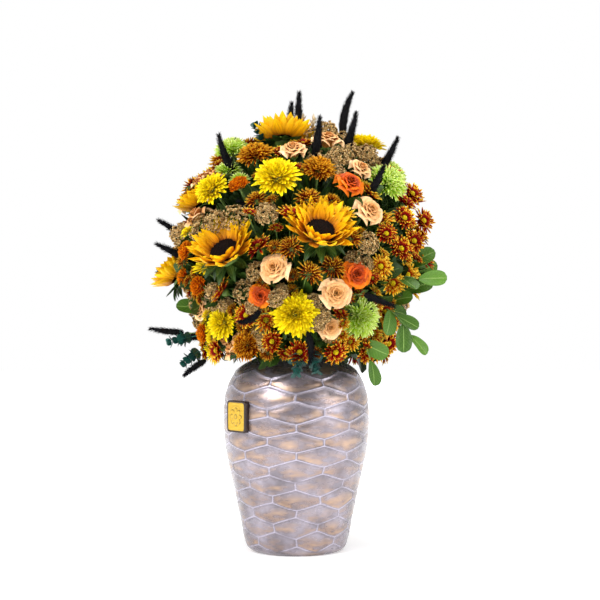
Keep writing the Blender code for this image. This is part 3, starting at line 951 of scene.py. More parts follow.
@dataclass
class Sunflower(Bloom):
    """Three rows of pointed ray petals in a bowl round a dark disc, over green bracts."""

    stem_radius: float = 0.0040
    rays: int = 23
    disc_share: float = 0.42
    petal_share: float = 0.70
    petal_width: float = 0.0160
    seeds: int = 420
    petal: PetalFinish = PetalFinish(
        "sunflower ray skin",
        ((0.0, "#9a4e02"), (0.20, "#e08e02"), (0.50, "#f8b404"), (1.0, "#ffd014")),
        0.35, 0.30, 0.5, 11.0, 0.10,
    )
    disc: PetalFinish = PetalFinish(
        "sunflower disc skin",
        ((0.0, "#040201"), (0.7, "#0a0403"), (1.0, "#1c0c05")),
        0.2, 0.5, 0.9, 9.0, 0.0, 0.0,
    )

    def grow(self, pose: Pose, rng: np.random.Generator) -> list[Patch]:
        """Grow the rays, the disc of seeds on a golden-angle spiral, and the bracts.

        Args:
            pose: The head's place, face and size.
            rng: Source of the random numbers.

        Returns:
            The head's patches.
        """
        radius = pose.radius
        patches = [self.stem(pose)]
        rows = ((0.34, 0.66, 1.0), (0.66, 0.42, 0.94), (0.98, 0.16, 0.78))
        for row, (rise, curl, share) in enumerate(rows):
            turn = np.arange(self.rays) * 2 * math.pi / self.rays + row * GOLDEN_ANGLE
            turn = turn + rng.normal(0, 0.05, self.rays)
            near = np.clip(-np.sin(turn), -1, 1)
            length = radius * self.petal_share * share * rng.uniform(0.88, 1.08, self.rays)
            patches.append(
                blades(
                    pose.places(turn, radius * self.disc_share * 0.86, -radius * 0.05 + row * 0.002),
                    length,
                    self.petal_width * rng.uniform(0.85, 1.15, self.rays),
                    rise + 0.10 * near + rng.normal(0, 0.08, self.rays),
                    curl + 0.12 * near + rng.normal(0, 0.22, self.rays),
                    0.32 + rng.normal(0, 0.12, self.rays),
                    Outline(0.12, 0.62, 0.95),
                    self.petal, rng, 10, 7, 0.10,
                )
            )
        number = np.arange(self.seeds)
        out = self.disc_share * radius * 0.93 * np.sqrt((number + 0.5) / self.seeds)
        turn = number * GOLDEN_ANGLE
        dome = 0.10 * radius * (1 - (out / (self.disc_share * radius)) ** 2) - 0.02 * radius
        at = pose.places(turn, out, dome)
        tilt = unit(at.normal + at.forward * (0.5 * out / out.max())[:, None])
        seed_height = 0.0022 + 0.0016 * (out / out.max()) ** 3
        patches.append(studs(at.origin, tilt, 0.00125, seed_height, self.disc, rng))
        bracts = 34
        turn = np.arange(bracts) * GOLDEN_ANGLE * 5
        patches.append(
            blades(
                pose.places(turn, radius * 0.20, -radius * 0.22),
                radius * rng.uniform(0.44, 0.66, bracts),
                radius * 0.27,
                rng.uniform(-0.35, 0.12, bracts),
                rng.uniform(-0.9, 0.3, bracts),
                0.3,
                Outline(0.25, 0.4, 0.9),
                LEAF_DARK, rng, 7, 5,
            )
        )
        cup_at = pose.centre - pose.face * radius * 0.42
        path = cup_at + pose.face * np.linspace(0, 0.34, 7)[:, None] * radius
        girth = radius * np.array([0.08, 0.16, 0.26, 0.34, 0.38, 0.39, 0.3])
        patches.append(tube(path, girth, 14, LEAF_DARK))
        return patches


class MumShape(Enum):
    """How a chrysanthemum's florets stand."""

    DECORATIVE = "flat outer florets round an incurved middle"
    POMPON = "an even ball of short florets"
    QUILLED = "narrow rolled florets in a dome"


@dataclass
class Chrysanthemum(Bloom):
    """Many florets on a golden-angle spiral, lying flat outside and standing up in the middle."""

    rim_height = 0.04
    petal: PetalFinish = field(default=None)
    shape: MumShape = MumShape.DECORATIVE
    florets: int = 150
    stem_radius: float = 0.0025

    def grow(self, pose: Pose, rng: np.random.Generator) -> list[Patch]:
        """Grow the florets and the green cup behind them.

        Args:
            pose: The head's place, face and size.
            rng: Source of the random numbers.

        Returns:
            The head's patches.
        """
        radius = pose.radius
        count = self.florets
        order = (np.arange(count) + 0.5) / count
        turn = np.arange(count) * GOLDEN_ANGLE
        out = np.sqrt(order)
        if self.shape is MumShape.DECORATIVE:
            start, height = 0.30 * out * radius, (0.16 - 0.20 * out**2) * radius
            length = radius * (0.30 + 0.46 * out) * rng.uniform(0.85, 1.12, count)
            width = radius * (0.105 + 0.065 * out)
            rise, curl, cup = 1.30 - 1.12 * out**1.3, 0.55 - 0.85 * out, 0.85 - 0.3 * out
            outline = Outline(0.10, 0.85, 0.30)
        elif self.shape is MumShape.POMPON:
            start, height = 0.42 * out * radius, (0.20 - 0.34 * out**2) * radius
            length = radius * (0.34 + 0.22 * out) * rng.uniform(0.85, 1.1, count)
            width = radius * (0.15 + 0.05 * out)
            rise, curl, cup = 1.35 - 1.25 * out**1.4, 0.30 + 0.25 * out, 0.85
            outline = Outline(0.12, 0.6, 0.35)
        else:
            start, height = 0.40 * out * radius, (0.22 - 0.34 * out**2) * radius
            length = radius * (0.30 + 0.34 * out) * rng.uniform(0.85, 1.12, count)
            width = radius * (0.085 + 0.02 * out)
            rise, curl, cup = 1.42 - 1.35 * out**1.5, 0.15 - 0.2 * out, 1.5
            outline = Outline(0.25, 0.35, 0.30)
        wild = rng.normal(0, 0.10, count)
        patches = [
            self.stem(pose),
            blades(
                pose.places(turn, start, height),
                length,
                width * rng.uniform(0.85, 1.15, count),
                rise + wild,
                curl + rng.normal(0, 0.14, count),
                cup, outline, self.petal, rng, self.rows, self.cols,
            ),
        ]
        path = pose.centre - pose.face * np.linspace(self.depth, 0.0, 6)[:, None] * radius
        patches.append(tube(path, radius * np.array([0.07, 0.2, 0.32, 0.38, 0.36, 0.3]), 12, LEAF_DARK))
        return patches


@dataclass
class Rose(Bloom):
    """Petals wrapped round one another in a golden-angle spiral, opening outwards."""

    rim_share = 0.85
    rim_height = 0.23
    depth = 0.68
    petal: PetalFinish = field(default=None)
    petals: int = 36
    openness: float = 1.0

    def grow(self, pose: Pose, rng: np.random.Generator) -> list[Patch]:
        """Grow the wrapped petals and the sepals.

        A petal's points follow an angle, a radius and a height: the angle spans the petal,
        the radius grows with height and flares at the lip, and the top edge drops to its sides.

        Args:
            pose: The head's place, face and size.
            rng: Source of the random numbers.

        Returns:
            The head's patches.
        """
        radius = pose.radius
        rows, cols = 9, 9
        t = (np.arange(self.petals) / (self.petals - 1))[:, None, None]
        turn = (np.arange(self.petals) * GOLDEN_ANGLE)[:, None, None]
        v = np.linspace(0, 1, rows)[None, :, None]
        u = np.linspace(-1, 1, cols)[None, None, :]
        chance = rng.uniform(0, 1, (self.petals, 1, 1))
        foot = 0.06 + 0.32 * t
        mouth = (0.07 + 0.80 * t**1.15) * (1 + 0.06 * (chance - 0.5))
        flare = (0.03 + 0.24 * t**1.5) * self.openness
        out = foot + (mouth - foot) * v**1.2 + flare * v**6
        top = 0.66 - 0.46 * t**1.6 + 0.06 * (chance - 0.5)
        high = -0.42 + (top + 0.42) * np.sin(v * math.pi / 2) - 0.5 * flare * v**8
        high = high - (0.16 + 0.22 * t) * np.abs(u) ** 2.5 * v**2
        span = (1.15 - 0.55 * t) * (0.55 + 0.45 * v**0.6)
        angle = turn + span * u
        out = out + 0.022 * np.sin(u * 5 + turn * 3) * v**3 * (0.4 + t)
        high = high + 0.020 * np.sin(u * 7 + turn * 5) * v**3
        side, uphill = pose.axes()
        around = np.cos(angle)[..., None] * side + np.sin(angle)[..., None] * uphill
        risen = np.broadcast_to(high, angle.shape)[..., None] * pose.face
        points = pose.centre + radius * (around * out[..., None] + risen)
        shape = angle.shape
        # Painted shade: each petal's colour run is cut short by how far in it sits, so the inner petals never
        # reach their tip colour and the heart of the rose is painted darker.
        along = np.broadcast_to(0.15 + 0.85 * v * (0.35 + 0.65 * t), shape)
        marks = np.stack([along, np.broadcast_to(u, shape), np.broadcast_to(chance, shape)], -1)
        patches = [
            self.stem(pose),
            Patch(
                points.reshape(-1, 3), grid_quads(self.petals, rows, cols), marks.reshape(-1, 3), self.petal
            ),
        ]
        sepals = 5
        turn = np.arange(sepals) * 2 * math.pi / sepals
        patches.append(
            blades(
                pose.places(turn, radius * 0.16, -radius * 0.52),
                radius * 0.85,
                radius * 0.34,
                rng.uniform(0.2, 0.7, sepals),
                rng.uniform(-0.6, 0.5, sepals),
                0.4,
                Outline(0.3, 0.3, 1.0),
                LEAF_BRIGHT, rng,
            )
        )
        path = pose.centre + pose.face * np.linspace(-0.74, -0.30, 6)[:, None] * radius
        patches.append(tube(path, radius * np.array([0.08, 0.2, 0.30, 0.34, 0.36, 0.3]), 10, LEAF_BRIGHT))
        return patches


@dataclass
class Daisy(Bloom):
    """Three rows of narrow florets, dark at the root and yellow at the tip, round a green-gold eye."""

    rim_height = 0.08
    petal: PetalFinish = field(default=None)
    eye: PetalFinish = PetalFinish(
        "daisy eye skin", ((0.0, "#5c5208"), (0.6, "#a89414"), (1.0, "#dcc428")), 0.2, 0.4, 0.6
    )
    florets: int = 22
    eye_buds: int = 60
    stem_radius: float = 0.0014

    def grow(self, pose: Pose, rng: np.random.Generator) -> list[Patch]:
        """Grow the rows of florets, the eye and the cup.

        Args:
            pose: The head's place, face and size.
            rng: Source of the random numbers.

        Returns:
            The head's patches.
        """
        radius = pose.radius
        patches = [self.stem(pose)]
        rows = ((0.10, 0.30, 0.98, 0.0), (0.38, 0.25, 0.84, 0.5), (0.72, 0.10, 0.62, 0.25))
        for rise, curl, share, shift in rows:
            count = self.florets
            turn = (np.arange(count) + shift) * 2 * math.pi / count + rng.normal(0, 0.05, count)
            patches.append(
                blades(
                    pose.places(turn, radius * 0.15, 0.02 * radius),
                    radius * 0.90 * share * rng.uniform(0.88, 1.1, count),
                    radius * 0.155,
                    rise + rng.normal(0, 0.10, count),
                    curl + rng.normal(0, 0.2, count),
                    1.0,
                    Outline(0.12, 0.7, 0.28),
                    self.petal, rng, self.rows, self.cols,
                )
            )
        count = self.eye_buds
        number = np.arange(count)
        out = 0.17 * radius * np.sqrt((number + 0.5) / count)
        dome = 0.10 * radius + 0.14 * radius * (1 - (out / out.max()) ** 2)
        at = pose.places(number * GOLDEN_ANGLE, out, dome)
        tilt = unit(at.normal + at.forward * (0.6 * out / out.max())[:, None])
        patches.append(studs(at.origin, tilt, 0.040 * radius, 0.10 * radius, self.eye, rng, 5))
        path = pose.centre + pose.face * np.linspace(-0.5, 0.04, 6)[:, None] * radius
        patches.append(tube(path, radius * np.array([0.06, 0.14, 0.24, 0.28, 0.28, 0.2]), 9, LEAF_DARK))
        return patches


@dataclass
class SeedHead(Bloom):
    """A loose dome of tiny dried florets on wiry branches."""

    rim_share = 0.92
    rim_height = 0.22
    depth = 0.7
    stem_radius: float = 0.0013
    florets: int = 170
    petal: PetalFinish = PetalFinish(
        "dried floret skin", ((0.0, "#6b4a22"), (0.5, "#b88f52"), (1.0, "#e6cc98")), 0.35, 0.6, 0.85
    )

    def grow(self, pose: Pose, rng: np.random.Generator) -> list[Patch]:
        """Grow small cups of four petals each, spread over the dome, with a bud in each.

        Args:
            pose: The head's place, face and size.
            rng: Source of the random numbers.

        Returns:
            The head's patches.
        """
        radius = pose.radius
        count = self.florets
        order = (np.arange(count) + 0.5) / count
        lean = 1.75 * np.sqrt(order)
        at = pose.places(np.arange(count) * GOLDEN_ANGLE, 0.0, 0.0)
        leaning = at.normal * np.cos(lean)[:, None] + at.forward * np.sin(lean)[:, None]
        way = unit(leaning + rng.normal(0, 0.12, (count, 3)))
        depth = rng.uniform(0.68, 1.0, count)
        seat = pose.centre - pose.face * 0.12 * radius + way * (depth * radius * 0.95)[:, None]
        patches = [self.stem(pose)]
        helper = unit(rng.normal(0, 1, (count, 3)))
        side = unit(np.cross(way, helper))
        other = np.cross(way, side)
        for quarter in range(4):
            angle = quarter * math.pi / 2
            out = side * math.cos(angle) + other * math.sin(angle)
            patches.append(
                blades(
                    Places(seat, out, way),
                    rng.uniform(0.0030, 0.0046, count),
                    0.0030,
                    rng.uniform(0.2, 1.0, count),
                    rng.uniform(-0.4, 0.7, count),
                    0.6,
                    Outline(0.3, 0.4, 0.4),
                    self.petal, rng, 4, 3,
                )
            )
        patches.append(studs(seat, way, 0.0008, 0.0016, self.petal, rng, 5))
        twigs = 9
        for number in range(twigs):
            end = seat[number * (count // twigs)]
            base = pose.centre - pose.face * radius * self.depth
            path = bezier(base, base + pose.face * radius * 0.3, end - (end - base) * 0.3, end, 6)
            patches.append(tube(path, np.full(6, 0.0005), 4, STEM))
        return patches


@dataclass
class Foxtail(Bloom):
    """A dyed black grass head: a slim spindle under a coat of bristles."""

    stem_radius: float = 0.0010
    length: float = 0.078
    width: float = 0.0172
    bristles: int = 900
    depth = 1.0
    fur: PetalFinish = PetalFinish(
        "dyed foxtail fur",
        ((0.0, "#030304"), (0.6, "#08080b"), (1.0, "#191a24")),
        0.1, 0.5, 0.75, 3.0, 0.0, 0.0,
    )

    def grow(self, pose: Pose, rng: np.random.Generator) -> list[Patch]:
        """Grow the spindle, whose radius is a sine of its length to a power, and its bristles.

        Args:
            pose: The head's place, face and size.
            rng: Source of the random numbers.

        Returns:
            The head's patches.
        """
        start = pose.centre - pose.face * self.length / 2
        side, uphill = pose.axes()
        sway = (side * rng.normal(0, 1) + uphill * rng.normal(0, 1)) * 0.0035
        t = np.linspace(0, 1, 14)
        path = start + pose.face * (t * self.length)[:, None] + sway * ((2 * t - 1) ** 2)[:, None]
        girth = np.sin(math.pi * np.clip(t, 0.02, 0.985) ** 0.62) ** 0.72
        patches = [self.stem(pose), tube(path, self.width / 2 * 0.72 * girth, 9, self.fur)]
        count = self.bristles
        share = rng.uniform(0.01, 0.97, count)
        turn = rng.uniform(0, 2 * math.pi, count)
        body = self.width / 2 * 0.62 * np.sin(math.pi * share**0.62) ** 0.72
        out = pose.around(turn)
        bowed = start + pose.face * (share * self.length)[:, None] + sway * ((2 * share - 1) ** 2)[:, None]
        origin = bowed + out * body[:, None]
        forward = unit(pose.face + out * rng.uniform(0.35, 1.0, count)[:, None])
        normal = unit(out - forward * (out * forward).sum(axis=1, keepdims=True))
        patches.append(
            blades(
                Places(origin, forward, normal),
                rng.uniform(0.0045, 0.0075, count),
                0.0008, 0.0,
                rng.uniform(-0.3, 0.3, count),
                0.5,
                Outline(0.4, 0.2, 0.8),
                self.fur, rng, 4, 3,
            )
        )
        return patches


@dataclass
class LeafSprig(Bloom):
    """One oval leaf at the end of its stalk, looking up and out."""

    stem_radius: float = 0.0011
    length: float = 0.048
    width: float = 0.027
    depth = 1.0
    skin: LeafFinish = LEAF_BRIGHT
    turned_to: tuple[float, float, float] = (0.0, -1.0, 0.35)

    def grow(self, pose: Pose, rng: np.random.Generator) -> list[Patch]:
        """Grow the leaf from its stalk, folded a little along its rib.

        Args:
            pose: The head's place, face and size.
            rng: Source of the random numbers.

        Returns:
            The head's patches.
        """
        start = pose.centre - pose.face * self.length / 2
        look = np.array(self.turned_to) + rng.normal(0, 0.25, 3)
        normal = unit(look - pose.face * (look @ pose.face))
        at = Places(start[None, :], pose.face[None, :], normal[None, :])
        outline = Outline(0.04, 0.75, 0.42)
        leaf = blades(at, self.length, self.width, 0.15, -0.35, 0.22, outline, self.skin, rng, 14, 9, 0.04)
        return [self.stem(pose), leaf]


# ---------------------------------------------------------------- petal finishes of each flower

YELLOW = PetalFinish(
    "yellow chrysanthemum skin",
    ((0.0, "#8f7f06"), (0.35, "#d6b806"), (0.7, "#ecd010"), (1.0, "#f8e42c")),
    0.16, 0.26, 0.55, 6.0, 0.12,
)
GREEN = PetalFinish(
    "green chrysanthemum skin",
    ((0.0, "#7fae10"), (0.35, "#abd22c"), (0.7, "#cde65c"), (1.0, "#ecf5ae")),
    0.10, 0.2, 0.55, 5.0, 0.16,
)
BRONZE = PetalFinish(
    "bronze chrysanthemum skin",
    ((0.0, "#3a0c03"), (0.48, "#7c2206"), (0.76, "#a63e0a"), (0.92, "#d88e22"), (1.0, "#f0bc40")),
    0.25, 0.5, 0.6, 5.0, 0.05, 0.0, 0.26,
)
ORANGE_MUM = PetalFinish(
    "orange chrysanthemum skin",
    ((0.0, "#702000"), (0.45, "#b84200"), (0.8, "#dc6604"), (1.0, "#f09a20")),
    0.22, 0.4, 0.6, 5.0, 0.04, 0.0, 0.2,
)
ORANGE = PetalFinish(
    "orange rose skin",
    ((0.0, "#3a0c00"), (0.4, "#8a2600"), (0.75, "#c84800"), (1.0, "#ee7c0a")),
    0.2, 0.45, 0.5, 7.0, 0.04, 0.0, 0.15,
)
PEACH = PetalFinish(
    "peach rose skin",
    ((0.0, "#9a5f22"), (0.35, "#c98644"), (0.75, "#e3ab72"), (1.0, "#f0c99a")),
    0.14, 0.26, 0.5, 7.0, 0.16,
)
RED = PetalFinish(
    "two-coloured daisy skin",
    ((0.0, "#4c0303"), (0.55, "#8c0605"), (0.82, "#a80f06"), (0.93, "#e09622"), (1.0, "#f6d64c")),
    0.2, 0.4, 0.55, 5.0, 0.05, 0.0, 0.18,
)
GOLD_DAISY = PetalFinish(
    "golden daisy skin",
    ((0.0, "#580a02"), (0.46, "#a01e05"), (0.66, "#c0480a"), (0.82, "#e8a824"), (1.0, "#f8dc58")),
    0.2, 0.4, 0.55, 5.0, 0.05, 0.0, 0.30,
)
RUST = PetalFinish(
    "rust spray chrysanthemum skin",
    ((0.0, "#340802"), (0.46, "#741804"), (0.70, "#a03206"), (0.86, "#d88c20"), (1.0, "#f4cc48")),
    0.25, 0.5, 0.6, 4.0, 0.04, 0.0, 0.30,
)


@dataclass(frozen=True)
class Planting:
    """What grows at the CAD nodes whose names start alike."""

    prefix: str
    bloom: Bloom
    slot: str
    long: bool = False


PLANTINGS = (
    Planting("sunflower", Sunflower(), "sunflower_petal"),
    Planting(
        "yellow_mum", Chrysanthemum(petal=YELLOW, shape=MumShape.DECORATIVE, florets=170), "yellow_petal"
    ),
    Planting("green_mum", Chrysanthemum(petal=GREEN, shape=MumShape.QUILLED, florets=260), "green_petal"),
    Planting("bronze_mum", Chrysanthemum(petal=BRONZE, shape=MumShape.QUILLED, florets=230), "bronze_petal"),
    Planting("orange_rose", Rose(petal=ORANGE), "orange_petal"),
    Planting(
        "orange_mum", Chrysanthemum(petal=ORANGE_MUM, shape=MumShape.POMPON, florets=120), "orange_petal"
    ),
    Planting("peach_roses", Rose(petal=PEACH), "peach_petal"),
    Planting("daisies_right_low", Daisy(petal=GOLD_DAISY), "red_petal"),
    Planting("daisies_right", Daisy(petal=RED), "red_petal"),
    Planting("daisies_right_high", Daisy(petal=RED), "red_petal"),
    Planting("daisies", Daisy(petal=RED), "red_petal"),
    Planting("seed_heads", SeedHead(), "seed_head"),
    Planting("foxtails", Foxtail(), "black_foxtail", True),
    Planting("leaves", LeafSprig(), "leaf", True),
)


class Bouquet:
    """All the cut stems, one finished piece for each CAD node."""

    def __init__(self, reading: Frame) -> None:
        """Keep the reader; the heads' poses gather as they are grown."""
        self.reading = reading
        self.poses: list[Pose] = []

    def poses_of(self, node: str, planting: Planting) -> list[Pose]:
        """Return the poses of one node's heads.

        Args:
            node: The CAD node.
            planting: What grows at the node.

        Returns:
            One pose for each head.
        """
        if planting.long:
            return self.reading.spike_poses(node, planting.bloom.length)
        return self.reading.rim_poses(node, planting.bloom.rim_share, planting.bloom.rim_height)

    def build(self) -> None:
        """Grow every node's heads into one piece and hide the node."""
        best = {
            node: max(
                (planting for planting in PLANTINGS if node.startswith(planting.prefix)),
                key=lambda planting: len(planting.prefix),
                default=None,
            )
            for node in sorted(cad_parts)
        }
        for planting in PLANTINGS:
            for node in (name for name, chosen in best.items() if chosen is planting):
                rng = np.random.default_rng(sum(node.encode()))
                patches = []
                for pose in self.poses_of(node, planting):
                    patches.extend(planting.bloom.grow(pose, rng))
                    if not planting.long:
                        self.poses.append(pose)
                piece = make_piece(f"{node}_bloom", patches)
                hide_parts(node)


def heading(bearing: float, elevation: float) -> np.ndarray:
    """Return the unit vector at a bearing from the front (left negative) and an elevation, in degrees."""
    turn, up = math.radians(bearing), math.radians(elevation)
    return np.array([math.cos(up) * math.sin(turn), -math.cos(up) * math.cos(turn), math.sin(up)])


class Filling(Enum):
    """What fills a gap between the large heads."""

    RUST = "rust spray chrysanthemum"
    RED = "two-coloured daisy"
    GOLD = "golden daisy"
    TAN = "dried seed cluster"
    YELLOW = "yellow spray chrysanthemum"
    PEACH = "small peach rose"
    GREEN = "green spray chrysanthemum"
    LEAF = "tuft of leaves"


@dataclass(frozen=True)
class Patchwork:
    """One patch of the filling: what grows round a bearing (left negative) and an elevation."""

    filling: Filling
    bearing: float
    elevation: float


PATCHWORK = (
    Patchwork(Filling.RUST, -43, 66),
    Patchwork(Filling.RED, -6, 61),
    Patchwork(Filling.GREEN, -32, 59),
    Patchwork(Filling.TAN, 10, 86),
    Patchwork(Filling.TAN, 17, 59),
    Patchwork(Filling.TAN, 38, 59),
    Patchwork(Filling.RUST, 15, 51),
    Patchwork(Filling.RUST, 18, 46),
    Patchwork(Filling.RUST, -15, 51),
    Patchwork(Filling.YELLOW, -44, 46),
    Patchwork(Filling.PEACH, -55, 51),
    Patchwork(Filling.TAN, -39, 41),
    Patchwork(Filling.RED, -11, 36),
    Patchwork(Filling.RUST, -8, 30),
    Patchwork(Filling.RUST, -12, 24),
    Patchwork(Filling.LEAF, -39, 24),
    Patchwork(Filling.TAN, -20, 24),
    Patchwork(Filling.RUST, 6, 25),
    Patchwork(Filling.RUST, 2, 19),
    Patchwork(Filling.RUST, 22, 26),
    Patchwork(Filling.GOLD, 30, 42),
    Patchwork(Filling.GOLD, 36, 34),
    Patchwork(Filling.GOLD, 52, 33),
    Patchwork(Filling.TAN, 35, 28),
    Patchwork(Filling.RED, 36, 21),
    Patchwork(Filling.GOLD, 54, 17),
    Patchwork(Filling.GOLD, 50, 10),
    Patchwork(Filling.RUST, -53, 20),
    Patchwork(Filling.RUST, -42, 22),
    Patchwork(Filling.RED, -33, 16),
    Patchwork(Filling.TAN, -46, 10),
    Patchwork(Filling.TAN, -25, 12),
    Patchwork(Filling.TAN, -27, 18),
    Patchwork(Filling.RUST, -31, -1),
    Patchwork(Filling.RUST, -39, 3),
    Patchwork(Filling.TAN, -86, 9),
    Patchwork(Filling.YELLOW, -56, -6),
    Patchwork(Filling.RED, -43, -22),
    Patchwork(Filling.TAN, -28, -12),
    Patchwork(Filling.GOLD, -15, -11),
    Patchwork(Filling.LEAF, -4, -10),
    Patchwork(Filling.RED, 0, -16),
    Patchwork(Filling.RUST, -18, -18),
    Patchwork(Filling.LEAF, 14, -9),
    Patchwork(Filling.RUST, 12, -17),
    Patchwork(Filling.TAN, 24, -14),
    Patchwork(Filling.PEACH, -50, -14),
    Patchwork(Filling.GOLD, 28, -4),
    Patchwork(Filling.TAN, 16, 4),
    Patchwork(Filling.RED, 24, 12),
    Patchwork(Filling.TAN, -4, 8),
    Patchwork(Filling.GOLD, 60, -15),
    Patchwork(Filling.RED, 80, -23),
    Patchwork(Filling.RED, 70, 40),
    Patchwork(Filling.RUST, -66, 28),
    Patchwork(Filling.YELLOW, -52, 28),
)
BACK_MIX = (
    Filling.RUST, Filling.TAN, Filling.GOLD, Filling.RUST, Filling.RED, Filling.LEAF,
    Filling.RUST, Filling.YELLOW,
)

FILLERS = {
    Filling.RUST: (
        Chrysanthemum(petal=RUST, shape=MumShape.QUILLED, florets=84, stem_radius=0.0011, rows=4, cols=3),
        "bronze_petal",
    ),
    Filling.RED: (Daisy(petal=RED, florets=16, eye_buds=18, stem_radius=0.0011, rows=5, cols=3), "red_petal"),
    Filling.GOLD: (
        Daisy(petal=GOLD_DAISY, florets=16, eye_buds=18, stem_radius=0.0011, rows=5, cols=3),
        "red_petal",
    ),
    Filling.TAN: (SeedHead(florets=110, stem_radius=0.0010), "seed_head"),
    Filling.YELLOW: (
        Chrysanthemum(
            petal=YELLOW, shape=MumShape.DECORATIVE, florets=70, stem_radius=0.0011, rows=5, cols=3
        ),
        "yellow_petal",
    ),
    Filling.PEACH: (Rose(petal=PEACH, petals=16, stem_radius=0.0011), "peach_petal"),
    Filling.GREEN: (
        Chrysanthemum(petal=GREEN, shape=MumShape.QUILLED, florets=84, stem_radius=0.0011, rows=4, cols=3),
        "green_petal",
    ),
}


